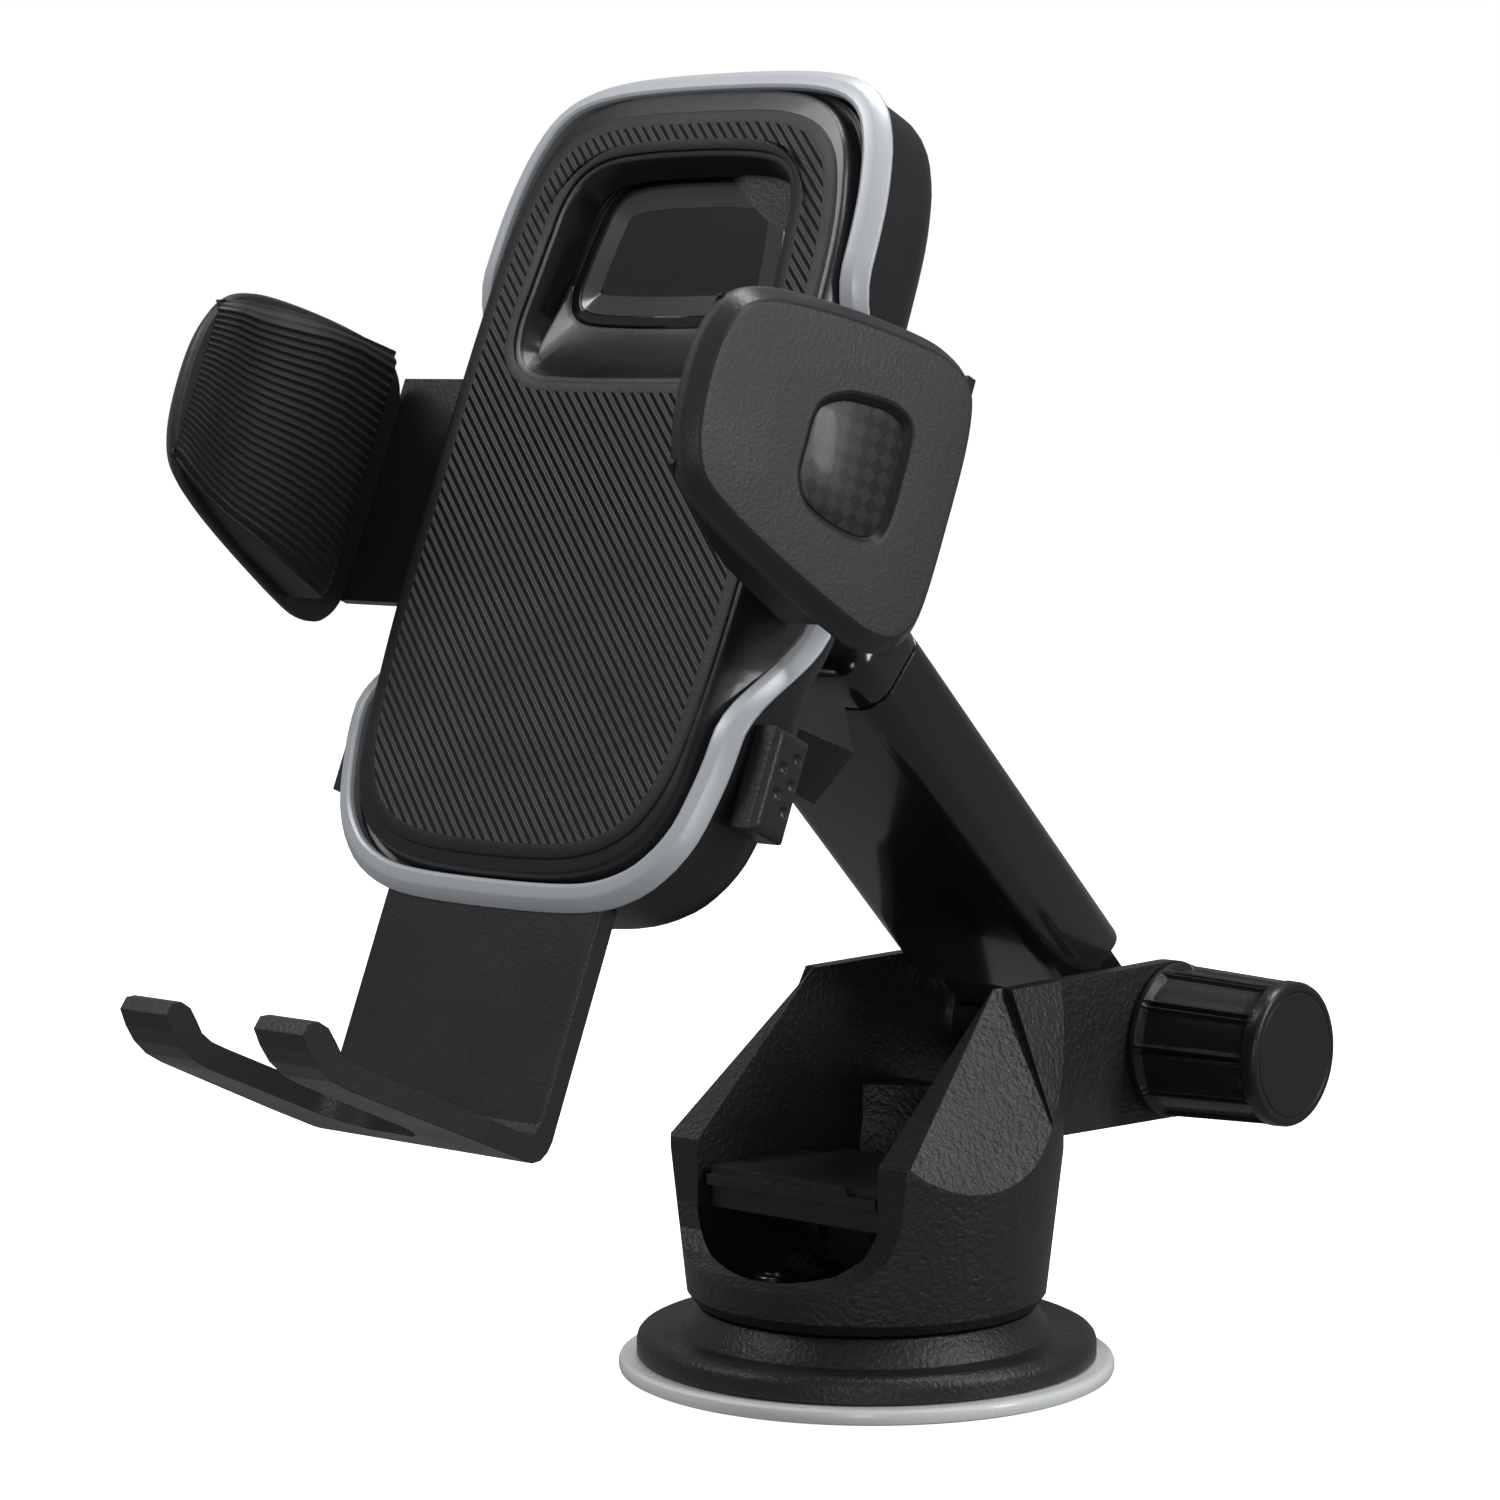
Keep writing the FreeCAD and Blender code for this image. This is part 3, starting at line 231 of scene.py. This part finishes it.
def closed_curve(points, count):
    """Smooth closed curve through points, resampled evenly along its length."""
    total = len(points)
    dense = []
    for i in range(total):
        p0, p1, p2, p3 = (Vector(points[(i + k - 1) % total]) for k in range(4))
        for j in range(CURVE_STEPS):
            t = j / CURVE_STEPS
            dense.append(0.5 * ((2 * p1) + (p2 - p0) * t + (2 * p0 - 5 * p1 + 4 * p2 - p3) * t * t
                                + (3 * p1 - p0 - 3 * p2 + p3) * t ** 3))
    lengths = [0.0]
    for a, b in zip(dense, dense[1:] + dense[:1]):
        lengths.append(lengths[-1] + (b - a).length)
    result = []
    k = 0
    for i in range(count):
        want = lengths[-1] * i / count
        while lengths[k + 1] < want:
            k += 1
        span = (want - lengths[k]) / max(lengths[k + 1] - lengths[k], 1e-9)
        result.append(dense[k].lerp(dense[(k + 1) % len(dense)], span))
    return result


def grown(points, amount):
    """Closed curve moved outwards by amount along its own normals."""
    total = len(points)
    centre = sum(points, Vector((0, 0))) / total
    result = []
    for i, p in enumerate(points):
        along = points[(i + 1) % total] - points[i - 1]
        normal = Vector((along.y, -along.x)).normalized()
        if normal.dot(p - centre) < 0:
            normal = -normal
        result.append(p + normal * amount)
    return result


def skin(rings, looped=False, tags=None):
    """Closed skin over rings of points, capped at both ends.

    Looped joins the last ring back to the first instead. Tags give each band its material.
    """
    bm = bmesh.new()
    rows = [[bm.verts.new(p) for p in ring] for ring in rings]
    pairs = list(zip(rows, rows[1:] + rows[:1])) if looped else list(zip(rows, rows[1:]))
    for index, (a, b) in enumerate(pairs):
        for i in range(len(a)):
            j = (i + 1) % len(a)
            face = bm.faces.new((a[i], a[j], b[j], b[i]))
            if tags:
                face.material_index = tags[index]
    if not looped:
        bmesh.ops.contextual_create(bm, geom=rows[0])
        bmesh.ops.contextual_create(bm, geom=rows[-1])
    return bm


def flat_map(bm, across, up):
    """Map in millimetres on two of the piece's own axes."""
    layer = bm.loops.layers.uv.new("flat")
    for face in bm.faces:
        for loop in face.loops:
            loop[layer].uv = (loop.vert.co[across], loop.vert.co[up])


def turned(profile, steps=96):
    """Profile of (radius, height) pairs spun into a closed solid about Z."""
    bm = bmesh.new()
    points = [bm.verts.new((r, 0, z)) for r, z in profile]
    edges = [bm.edges.new(pair) for pair in zip(points, points[1:])]
    if profile[0][0] > 0.001:
        edges.append(bm.edges.new((points[-1], points[0])))
    bmesh.ops.spin(bm, geom=points + edges, cent=(0, 0, 0), axis=(0, 0, 1), angle=2 * math.pi, steps=steps,
                   use_merge=True)
    bmesh.ops.remove_doubles(bm, verts=bm.verts, dist=0.0005)
    return bm


def mix(a, b, t):
    return a + (b - a) * t


def table_value(table, x):
    """Value at x on the straight pieces between the table's points."""
    for (x0, y0), (x1, y1) in zip(table, table[1:]):
        if x <= x1:
            t = max(0.0, min(1.0, (x - x0) / (x1 - x0)))
            return mix(y0, y1, t)
    return table[-1][1]


# ---------------------------------------------------------------- cradle outlines
def whole(right):
    """Closed outline of points (x, z) from its right half, which runs from bottom to top."""
    left = [(-x, z) for x, z in reversed(right[1:-1])]
    return [Vector(p) for p in right + left]


COUNT = 160  # points around each outline of the cradle
RING_OUT = whole([(0, 35.8), (14, 36.1), (22, 37.2), (28.4, 39.9), (32.6, 43.6), (35.2, 47.4), (36.6, 51),
                  (38.2, 58), (38.75, 64), (38.9, 74), (38.7, 90), (38.5, 110), (38.6, 126), (38.5, 137),
                  (38.1, 145), (37.2, 151), (35.8, 156.4), (33.4, 161.4), (30.0, 164.9), (25.5, 167),
                  (20, 168.1), (14, 168.6), (7, 168.85), (0, 168.9)])
COVER_OUT = whole([(0, 40.3), (9, 40.5), (16, 41.2), (21.5, 42.7), (25.6, 44.9), (28.2, 47.4), (30.2, 50.6),
                   (31.8, 55), (32.6, 61), (33.5, 72.5), (34.0, 85), (34.1, 100), (34.1, 118), (33.7, 134),
                   (33.0, 142), (31.7, 148.5), (30.0, 154), (27.3, 158.6), (24.2, 161.2), (20.2, 163),
                   (15, 164), (8, 164.45), (0, 164.5)])
PAD_OUT = whole([(0, 42.6), (9, 42.8), (15.4, 43.4), (20.6, 44.8), (24.4, 46.8), (26.9, 49.1), (28.8, 52),
                 (30.5, 56.2), (31.6, 62), (32.6, 73), (33.0, 85), (33.0, 100), (33.0, 118), (32.6, 134),
                 (31.9, 142), (30.6, 148), (28.7, 153), (26.0, 156.4), (23.2, 158.4), (19.6, 159.8),
                 (14.6, 160.7), (8, 161), (0, 161.05)])
WINDOW = whole([(0, 117.6), (12, 117.7), (19, 118.4), (23, 121.4), (24.2, 126), (23.8, 132), (23.0, 141),
                (22.4, 146), (20.4, 150.2), (16.2, 152.6), (9, 153.5), (0, 153.7)])
LENS = whole([(0, 128.8), (8, 128.9), (15, 129.3), (18.6, 130.6), (19.9, 133.6), (19.6, 138), (18.7, 144),
              (17.6, 148.2), (14.4, 150.9), (8, 151.9), (0, 152.1)])


def ease(t):
    t = max(0.0, min(1.0, t))
    return t * t * (3 - 2 * t)


RING_FRONT = -3.0
WAIST_DIP = 12.5
WAIST_LOW = 63
WAIST_HIGH = 136


def dip(z):
    """Depth of the trim ring's edge: it runs back along the waist."""
    return RING_FRONT + WAIST_DIP * ease((z - WAIST_LOW) / 23) * ease((WAIST_HIGH - z) / 24)


ring_curve = closed_curve(RING_OUT, COUNT)
cover_curve = closed_curve(COVER_OUT, COUNT)
pad_curve = closed_curve(PAD_OUT, COUNT)
window_curve = closed_curve(WINDOW, COUNT)
lens_curve = grown(closed_curve(LENS, COUNT), 0.9)


def level(curve, back):
    """Ring of the cradle, at one depth behind its face."""
    return [(p.x, back, p.y) for p in curve]


def dipped(out, back):
    """Ring that follows the dip at the waist, moved outwards and back."""
    return [(p.x, dip(q.y) + back, p.y) for p, q in zip(grown(ring_curve, out), ring_curve)]


# Trim ring: satin band with two bevels, following the dip at the waist.
BAND = [(-3.9, -1.9), (-3.7, -2.5), (-3.2, -2.75), (-1.7, -2.35), (-1.45, -2.2), (-0.35, -0.95),
        (0.0, -0.5), (0.0, -0.05), (-0.5, 0.15), (-3.4, 0.3)]
rings = [dipped(out, back) for out, back in BAND]
finish_piece("trim_ring_band", skin(rings, looped=True), CRADLE, ["silver"], "cradle", "trim_ring",
             22)

# Back shell: tub behind the trim ring, its rim rounded as far as the waist leaves room.
SHELL_REAR = 13.8
SHELL_SHOWN = 13.72
SHELL_INSET = 0.9
SHELL_STEPS = 10
RIM_LEAST = 3.6
RIM_MOST = 8.0
rings = [dipped(-3.0, 0.15), dipped(-SHELL_INSET, 0.15)]
normals = [a - b for a, b in zip(grown(ring_curve, 1.0), ring_curve)]
for k in range(SHELL_STEPS + 1):
    angle = math.radians(90 * k / SHELL_STEPS)
    ring = []
    for p, n in zip(ring_curve, normals):
        room = max(RIM_LEAST, min(RIM_MOST, SHELL_REAR - dip(p.y) - 0.4))
        inset = room * (1 - math.cos(angle)) + SHELL_INSET
        ring.append((p.x - n.x * inset, SHELL_SHOWN - room * (1 - math.sin(angle)), p.y - n.y * inset))
    rings.append(ring)
finish_piece("back_tub", skin(rings), CRADLE, ["satin_black"], "cradle", "back_shell", 35)

# Front cover: a hollow shell. Its rings run from the lens up the tub, over the face and the rim,
# down the flared skirt, and back along the inside to the lens.
FACE = -6.4
SKIRT_REAR = 7.6
rings = [level(grown(lens_curve, 0.15), -0.2), level(grown(lens_curve, 0.15), -1.3),
         level(grown(lens_curve, 1.2), -1.35)]
tub_floor = []
for p in grown(window_curve, -1.6):
    share = max(0.0, min(1.0, (129 - p.y) / 10.0))
    tub_floor.append((p.x, mix(-2.2, -4.6, share), p.y))
rings.append(tub_floor)
for curve, out, back in ((window_curve, -0.35, -5.9), (window_curve, 0.0, -6.3), (window_curve, 0.5, FACE),
                         (cover_curve, -0.9, FACE), (cover_curve, -0.35, -6.25), (cover_curve, 0.0, -5.8),
                         (cover_curve, 0.35, -4.6), (cover_curve, 0.8, -3.2)):
    rings.append(level(grown(curve, out), back))
for out, back in ((1.6, 2.0), (2.3, SKIRT_REAR)):
    curve = grown(cover_curve, out)
    rings.append([(p.x, min(back, dip(p.y) + 0.2 + (back - SKIRT_REAR) * 0.1), p.y) for p in curve])
rings.append([(p.x, edge[1], p.y) for p, edge in zip(grown(cover_curve, 0.9), rings[-1])])
for curve, out, back in ((cover_curve, -1.2, -4.4), (window_curve, 1.2, -4.4), (window_curve, 0.3, 0.1),
                         (lens_curve, 0.9, 0.1)):
    rings.append(level(grown(curve, out), back))
finish_piece("cover_face", skin(rings, looped=True), CRADLE, ["cover_black"], "cradle", "front_cover",
             35)

# Face pad: thin ribbed rubber sheet with a plain border.
rings = [level(grown(window_curve, 0.9), -6.2), level(grown(window_curve, 0.9), -6.75),
         level(grown(window_curve, 1.2), -6.88), level(grown(window_curve, 2.6), -6.9),
         level(grown(pad_curve, -2.2), -6.9), level(grown(pad_curve, -0.5), -6.88),
         level(grown(pad_curve, -0.1), -6.7), level(pad_curve, -6.2)]
bm = skin(rings, looped=True, tags=[0, 0, 0, 1, 0, 0, 0, 0])
flat_map(bm, 0, 2)
finish_piece("ribbed_face", bm, CRADLE, ["rubber_black", "ribbed"], "cradle", "face_pad", 35)

# Lens with a bevelled rim. Its inner bevel band takes a lighter material than the lens, a painted highlight
# on the bevel's facets.
rings = [level(lens_curve, -0.4), level(lens_curve, -1.2), level(grown(lens_curve, -0.3), -1.45),
         level(grown(lens_curve, -1.6), -1.5), level(grown(lens_curve, -1.9), -1.3),
         level(grown(lens_curve, -5.2), -1.0), level(grown(lens_curve, -5.6), -1.0)]
finish_piece("window_glass", skin(rings, tags=[0, 0, 0, 0, 1, 0]), CRADLE, ["lens", "lens_bevel_painted_highlight"], "cradle",
             "window_lens", 20)

# ---------------------------------------------------------------- clamp wings, cushions and badges
WING = [(4.4, 86.0), (5.0, 100.0), (4.6, 113.0), (2.2, 120.2), (-4.0, 123.0), (-14.0, 122.6), (-28.0, 120.4),
        (-38.0, 117.8), (-43.4, 114.2), (-46.0, 108.0), (-46.4, 100.0), (-45.2, 92.5), (-42.0, 87.3),
        (-36.0, 84.4), (-26.0, 81.6), (-12.0, 78.6), (-4.5, 77.8), (1.2, 79.8)]
BADGE = [(-21.2, 108.9), (-25.0, 105.6), (-25.4, 100.0), (-25.0, 95.2), (-22.0, 91.9), (-16.0, 90.8),
         (-10.4, 91.3), (-7.6, 94.0), (-7.0, 101.5), (-7.6, 108.8), (-11.4, 110.9), (-16.5, 110.3)]
WING_POINTS = 120


def on_wing(outline):
    """Smooth closed curve in the wing's own frame."""
    return [Vector((p.x - WING_BACK, p.y)) for p in closed_curve([Vector(p) for p in outline], WING_POINTS)]


def side(curve, out):
    """Ring of the wing, at one distance outside its wall."""
    return [(out, p.x, p.y) for p in curve]


def doubled_area(curve):
    return sum(a.x * b.y - a.y * b.x for a, b in zip(curve, curve[1:] + curve[:1]))


def aligned(curve, other):
    """Order of curve changed so that it starts on the same side as other and runs the same way."""
    middle = sum(other, Vector((0, 0))) / len(other)
    own = sum(curve, Vector((0, 0))) / len(curve)
    want = (other[0] - middle).normalized()
    best = max(range(len(curve)), key=lambda i: (curve[i] - own).normalized().dot(want))
    ordered = curve[best:] + curve[:best]
    if doubled_area(ordered) * doubled_area(other) < 0:
        ordered = [ordered[0]] + ordered[:0:-1]
    return ordered


wing_curve = on_wing(WING)
badge_curve = aligned(on_wing(BADGE), wing_curve)


def wing_bmesh():
    """Clamp wing: rounded edge, bevel, flat face and the dish for its badge."""
    rings = [side(grown(wing_curve, -0.4), 0.0), side(wing_curve, 0.3), side(wing_curve, 1.1),
             side(grown(wing_curve, -0.3), 1.6), side(grown(wing_curve, -1.9), 3.45),
             side(grown(wing_curve, -2.4), 3.72), side(grown(wing_curve, -3.4), 3.8),
             side(grown(badge_curve, 0.5), 3.8), side(badge_curve, 3.65), side(grown(badge_curve, -0.9), 2.5),
             side(grown(badge_curve, -1.1), 2.3)]
    return skin(rings, tags=[0, 0, 0, 1, 1, 0, 0, 2, 2, 2])


RIBS = 27
RIB_STEPS = 6
RIB_HEIGHT = 0.42
RIB_SWAY = 0.5
CUSHION_BACK = -9.45
CUSHION_SINK = 0.2
# Section of the cushion's inner face (back, out), and its lower and upper ends (back, z).
CUSHION = [(-9.4, 48.6), (-9.4, 46.4), (-9.5, 45.3), (-10.2, 44.75), (-12, 44.65), (-18, 44.6), (-24, 44.7),
           (-28, 45.3), (-32, 46.4), (-36, 47.2), (-40, 47.5), (-42.6, 48.0), (-43.8, 48.9)]
CUSHION_LOW = [(-46, 90.5), (-43.8, 89.2), (-40, 87.2), (-32, 84.4), (-24, 82.2), (-9, 79.4)]
CUSHION_HIGH = [(-46, 112.5), (-43.8, 114.0), (-40, 115.6), (-32, 117.6), (-24, 118.8), (-9, 120.4)]


def cushion_bmesh():
    """Ribbed cushion: a waved inner face that flows back to the wing."""
    bm = bmesh.new()
    steps = RIBS * RIB_STEPS
    front = []
    rear = []
    for back, out in CUSHION:
        low = table_value(CUSHION_LOW, back)
        high = table_value(CUSHION_HIGH, back)
        wall = WING_OUT - WING_SLOPE * (WING_BACK - back) + CUSHION_SINK
        rib = RIB_HEIGHT if back < CUSHION_BACK else 0.0
        sway = RIB_SWAY * math.sin((back + 26) * 0.22)
        front_row = []
        rear_row = []
        for i in range(steps + 1):
            share = i / steps
            wave = 0.5 - 0.5 * math.cos(2 * math.pi * RIBS * share)
            end = min(1.0, min(share, 1 - share) * 18)
            z = mix(low, high, share) + sway * end
            front_row.append(bm.verts.new((out + rib * wave + (1 - end) * 1.2, back, z)))
            rear_row.append(bm.verts.new((wall, back, z)))
        front.append(front_row)
        rear.append(rear_row)
    for grid in (front, rear):
        for a, b in zip(grid, grid[1:]):
            for i in range(steps):
                bm.faces.new((a[i], a[i + 1], b[i + 1], b[i]))
    for a, b in ((front[0], rear[0]), (front[-1], rear[-1])):
        for i in range(steps):
            bm.faces.new((a[i], a[i + 1], b[i + 1], b[i]))
    for end in (0, steps):
        for k in range(len(CUSHION) - 1):
            bm.faces.new((front[k][end], front[k + 1][end], rear[k + 1][end], rear[k][end]))
    return bm


def inlay_bmesh():
    """Badge: a thin disc in the wing's dish, with its map in millimetres."""
    bm = skin([side(grown(badge_curve, -0.9), 2.1), side(grown(badge_curve, -0.9), 2.65),
               side(grown(badge_curve, -1.2), 2.8)])
    flat_map(bm, 1, 2)
    return bm


for name, flip in (("right", WORLD), ("left", FLIP)):
    body = name + "_clamp"
    on_cradle = CRADLE @ flip
    finish_piece(name + "_plate", wing_bmesh(), on_cradle @ WING_AT,
                 ["clamp_grey", "clamp_edge", "rubber_black"], body, name + "_wing", 16)
    finish_piece(name + "_cushion", cushion_bmesh(), on_cradle, ["rubber_black"], body, name + "_pad",
                 50)
    finish_piece(name + "_inlay", inlay_bmesh(), on_cradle @ WING_AT, ["twill"], body, name + "_badge",
                 30)


# ---------------------------------------------------------------- arm
CORNER_STEPS = 8


def rounded_box(half, front, rear, radius, height, tilt):
    """Ring with rounded corners about the arm's line; tilt lowers it towards the rear."""
    points = []
    for cx, cy, start in ((half, rear, 0), (-half, rear, 90), (-half, -front, 180), (half, -front, 270)):
        sx = cx - math.copysign(radius, cx)
        sy = cy - math.copysign(radius, cy)
        for k in range(CORNER_STEPS + 1):
            a = math.radians(start + 90 * k / CORNER_STEPS)
            x = sx + radius * math.cos(a)
            y = sy + radius * math.sin(a)
            points.append((x, y, height - tilt * (y - rear)))
    return points


SLEEVE_HALF = 18.1
SLEEVE_FRONT = 7.9
SLEEVE_REAR = 8.15
SLEEVE_CORNER = 4.5
SLEEVE_WALL = 2.7
OBLIQUE = 0.16  # slope of the sleeve's lower end


def sleeve_ring(shrink, height, tilt=0.0):
    """Ring of the sleeve, drawn in by shrink."""
    return rounded_box(SLEEVE_HALF - shrink, SLEEVE_FRONT - shrink, SLEEVE_REAR - shrink,
                       max(0.6, SLEEVE_CORNER - shrink), height, tilt)


# Sleeve: oblique rounded end at the bottom, square joint line at the top, its bore inside.
rings = [sleeve_ring(SLEEVE_WALL, 30), sleeve_ring(SLEEVE_WALL, 19.6, OBLIQUE),
         sleeve_ring(2.3, 19.0, OBLIQUE), sleeve_ring(0.5, 19.0, OBLIQUE), sleeve_ring(0.12, 19.2, OBLIQUE),
         sleeve_ring(0.0, 19.7, OBLIQUE), sleeve_ring(0.0, 93.3), sleeve_ring(0.1, 93.75),
         sleeve_ring(0.4, 93.95), sleeve_ring(SLEEVE_WALL, 93.95), sleeve_ring(SLEEVE_WALL, 86)]
finish_piece("sleeve_tube", skin(rings), ARM, ["gloss_black"], "upper_arm", "outer_sleeve", 35)

# Head: cap on the sleeve, its top edge rounded.
HEAD_STEPS = 7
HEAD_SHOULDER = 100.4
rings = [sleeve_ring(SLEEVE_WALL, 92), sleeve_ring(SLEEVE_WALL, 94.2), sleeve_ring(0.45, 94.2),
         sleeve_ring(0.12, 94.4), sleeve_ring(0.0, 94.8), sleeve_ring(0.0, HEAD_SHOULDER)]
for k in range(1, HEAD_STEPS + 1):
    a = math.radians(90 * k / HEAD_STEPS)
    rings.append(sleeve_ring(3.4 * (1 - math.cos(a)), HEAD_SHOULDER + 3.5 * math.sin(a)))
finish_piece("sleeve_head", skin(rings), ARM, ["gloss_black"], "upper_arm", "arm_head", 35)

# Ball, with the neck and flange that hold it to the head.
BALL_RADIUS = 8.5
neck = Vector((0, 0.896, -0.443)).normalized()
NECK_AT = ARM @ Matrix.Translation(BALL_IN_ARM) @ neck.to_track_quat("Z", "Y").to_matrix().to_4x4()
profile = [(0.0, -BALL_RADIUS)]
for k in range(1, 14):
    a = math.radians(-90 + 11.6 * k)
    profile.append((BALL_RADIUS * math.cos(a), BALL_RADIUS * math.sin(a)))
profile += [(4.3, 8.2), (3.9, 9.2), (3.9, 15.0), (4.4, 15.6), (6.2, 16.2), (6.9, 17.4), (0.0, 17.4)]
finish_piece("ball_and_neck", turned(profile, 64), NECK_AT, ["steel"], "upper_arm", "ball_stud", 30)

# ---------------------------------------------------------------- knob
FLUTES = 10
FLUTE_DEPTH = 1.05
KNOB_START = 21.7
KNOB_END = 46.0
KNOB_WIDE = 12.9
KNOB_NARROW = 11.85
KNOB_POINTS = 360
KNOB_BORE = 5.2
KNOB_LEVELS = [KNOB_START, 22.0, 22.9, 23.8, 24.6, 26, 30, 34, 38, 41, 42.2, 42.9, 43.5, 44.4, 45.3]
KNOB_FACE = [(11.7, 45.75), (11.4, 45.98), (10.6, KNOB_END), (10.3, 45.85), (10.2, 45.5)]


def knob_radius(angle, along):
    """Radius of the fluted grip: wide flutes between pairs of fine ribs, fading out at both ends."""
    base = mix(KNOB_WIDE, KNOB_NARROW, (along - KNOB_START) / (KNOB_END - KNOB_START))
    sector = (math.degrees(angle) % (360 / FLUTES)) - 180 / FLUTES
    rib = math.exp(-((abs(sector) - 2.6) / 1.5) ** 2)
    fade_out = max(0.0, min(1.0, (KNOB_END - 2.6 - along) / 0.9))
    fade_in = max(0.0, min(1.0, (along - KNOB_START - 1.2) / 0.9))
    return base - fade_out * fade_in * (FLUTE_DEPTH - 0.95 * rib)


def knob_ring(along, radius=None, trim=0.0):
    """Ring of the knob: round where a radius is given, and fluted elsewhere."""
    ring = []
    for i in range(KNOB_POINTS):
        angle = 2 * math.pi * i / KNOB_POINTS
        reach = radius or knob_radius(angle, along) - trim
        ring.append((reach * math.cos(angle), reach * math.sin(angle), along))
    return ring


rings = [knob_ring(23.0, KNOB_BORE), knob_ring(21.8, KNOB_BORE)]
rings += [knob_ring(along, trim=0.35 if along == KNOB_START else 0.0) for along in KNOB_LEVELS]
rings += [knob_ring(along, radius) for radius, along in KNOB_FACE]
finish_piece("fluted_knob", skin(rings), KNOB, ["knob_black"], "knob", "clamp_knob", 40)

# ---------------------------------------------------------------- suction base
# Gel pad: a soft-edged disc with a pull tab at the rear.
DISC = [(0, 0.0), (39.2, 0.0), (39.8, 0.3), (40.0, 0.9), (40.0, 1.6), (39.8, 2.1), (39.3, 2.38), (38.6, 2.4),
        (0, 2.4)]
TAB = [(-8, 36), (0, 36), (0, 49.4), (-0.7, 51.2), (-2.2, 52), (-5.8, 52), (-7.3, 51.2), (-8, 49.4)]
bm = turned(DISC, 160)
tab = skin([[(x, y, z) for x, y in TAB] for z in (0.05, 1.6)])
tab_mesh = bpy.data.meshes.new("tab")
tab.to_mesh(tab_mesh)
tab.free()
bm.from_mesh(tab_mesh)
bpy.data.meshes.remove(tab_mesh)
finish_piece("gel_disc", bm, WORLD, ["clear_gel"], "base", "gel_pad", 35)

# Base ring: rounded skirt, step, collar and the deck inside it.
SKIRT = [(27.2, 2.4), (36.6, 2.4), (37.1, 2.8), (37.1, 5.0), (36.9, 5.7), (36.4, 6.3), (35.6, 6.7),
         (34.8, 6.75), (30.6, 6.4), (30.0, 6.6), (29.8, 7.0), (27.6, 10.1), (27.2, 10.6), (26.6, 10.7),
         (25.4, 10.7), (25.4, 11.1), (20, 11.1), (20, 8.8), (27.2, 8.8)]
finish_piece("base_skirt", turned(SKIRT, 160), WORLD, ["fine_grain"], "base", "base_ring", 28)

# ---------------------------------------------------------------- floor, light and camera
# Places and sizes from here on are in metres. The floor glows white to the camera only.
FLOOR_GLOW = 0.9
ROOM_LIGHT = 0.2

bm = bmesh.new()
bmesh.ops.create_grid(bm, x_segments=4, y_segments=4, size=6.0)
mesh = bpy.data.meshes.new("floor")
bm.to_mesh(mesh)
bm.free()
floor = bpy.data.objects.new("floor", mesh)
mesh.materials.append(M["floor"])
floor.location.z = -0.0002
bpy.context.scene.collection.objects.link(floor)
floor.visible_diffuse = False
floor.visible_glossy = False
floor.visible_transmission = False
glow = M["floor"].node_tree.nodes["Principled BSDF"]
glow.inputs["Emission Color"].default_value = (1, 1, 1, 1)
glow.inputs["Emission Strength"].default_value = FLOOR_GLOW

world = bpy.data.worlds.new("studio")
world.use_nodes = True
tree = world.node_tree
ambient = tree.nodes["Background"]
ambient.inputs["Color"].default_value = (1, 1, 1, 1)
ambient.inputs["Strength"].default_value = ROOM_LIGHT
backdrop = tree.nodes.new("ShaderNodeBackground")
backdrop.inputs["Color"].default_value = (1, 1, 1, 1)
backdrop.inputs["Strength"].default_value = 1.0
seen = tree.nodes.new("ShaderNodeLightPath")
choose = tree.nodes.new("ShaderNodeMixShader")
tree.links.new(seen.outputs["Is Camera Ray"], choose.inputs["Fac"])
tree.links.new(ambient.outputs["Background"], choose.inputs[1])
tree.links.new(backdrop.outputs["Background"], choose.inputs[2])
tree.links.new(choose.outputs["Shader"], tree.nodes["World Output"].inputs["Surface"])
bpy.context.scene.world = world
bpy.context.scene.view_settings.view_transform = "Standard"

AIM = Vector((0, -0.02, 0.1))
LIGHTS = [
    ("key", (-0.55, -0.75, 1.25), (0.6, 0.6), 8.0),
    ("side", (1.25, 0.35, 0.75), (0.3, 1.0), 10.0),
    ("crown", (0.05, 0.35, 1.3), (0.9, 0.3), 8.0),
    ("front", (0.9, -1.2, 0.25), (0.3, 0.8), 3.0),
]
for name, spot, size, power in LIGHTS:
    data = bpy.data.lights.new(name, "AREA")
    data.shape = "RECTANGLE"
    data.size = size[0]
    data.size_y = size[1]
    data.energy = power
    lamp = bpy.data.objects.new(name, data)
    lamp.location = spot
    lamp.rotation_euler = (AIM - Vector(spot)).to_track_quat("-Z", "Y").to_euler()
    bpy.context.scene.collection.objects.link(lamp)

# The camera stands in front and to the right, and looks slightly down.
CAMERA_AT = (0.4341, -0.5335, 0.1627)
CAMERA_RIGHT = (0.7581, 0.6521, 0)
CAMERA_UP = (-0.0592, 0.0688, 0.9959)
CAMERA_BACK = (0.6494, -0.7550, 0.0908)

lens_data = bpy.data.cameras.new("camera")
lens_data.lens = 103.85
lens_data.sensor_width = 36
lens_data.clip_end = 50
camera = bpy.data.objects.new("camera", lens_data)
rows = zip(CAMERA_RIGHT, CAMERA_UP, CAMERA_BACK, CAMERA_AT)
camera.matrix_world = Matrix([*rows, (0, 0, 0, 1)])
bpy.context.scene.collection.objects.link(camera)
bpy.context.scene.camera = camera
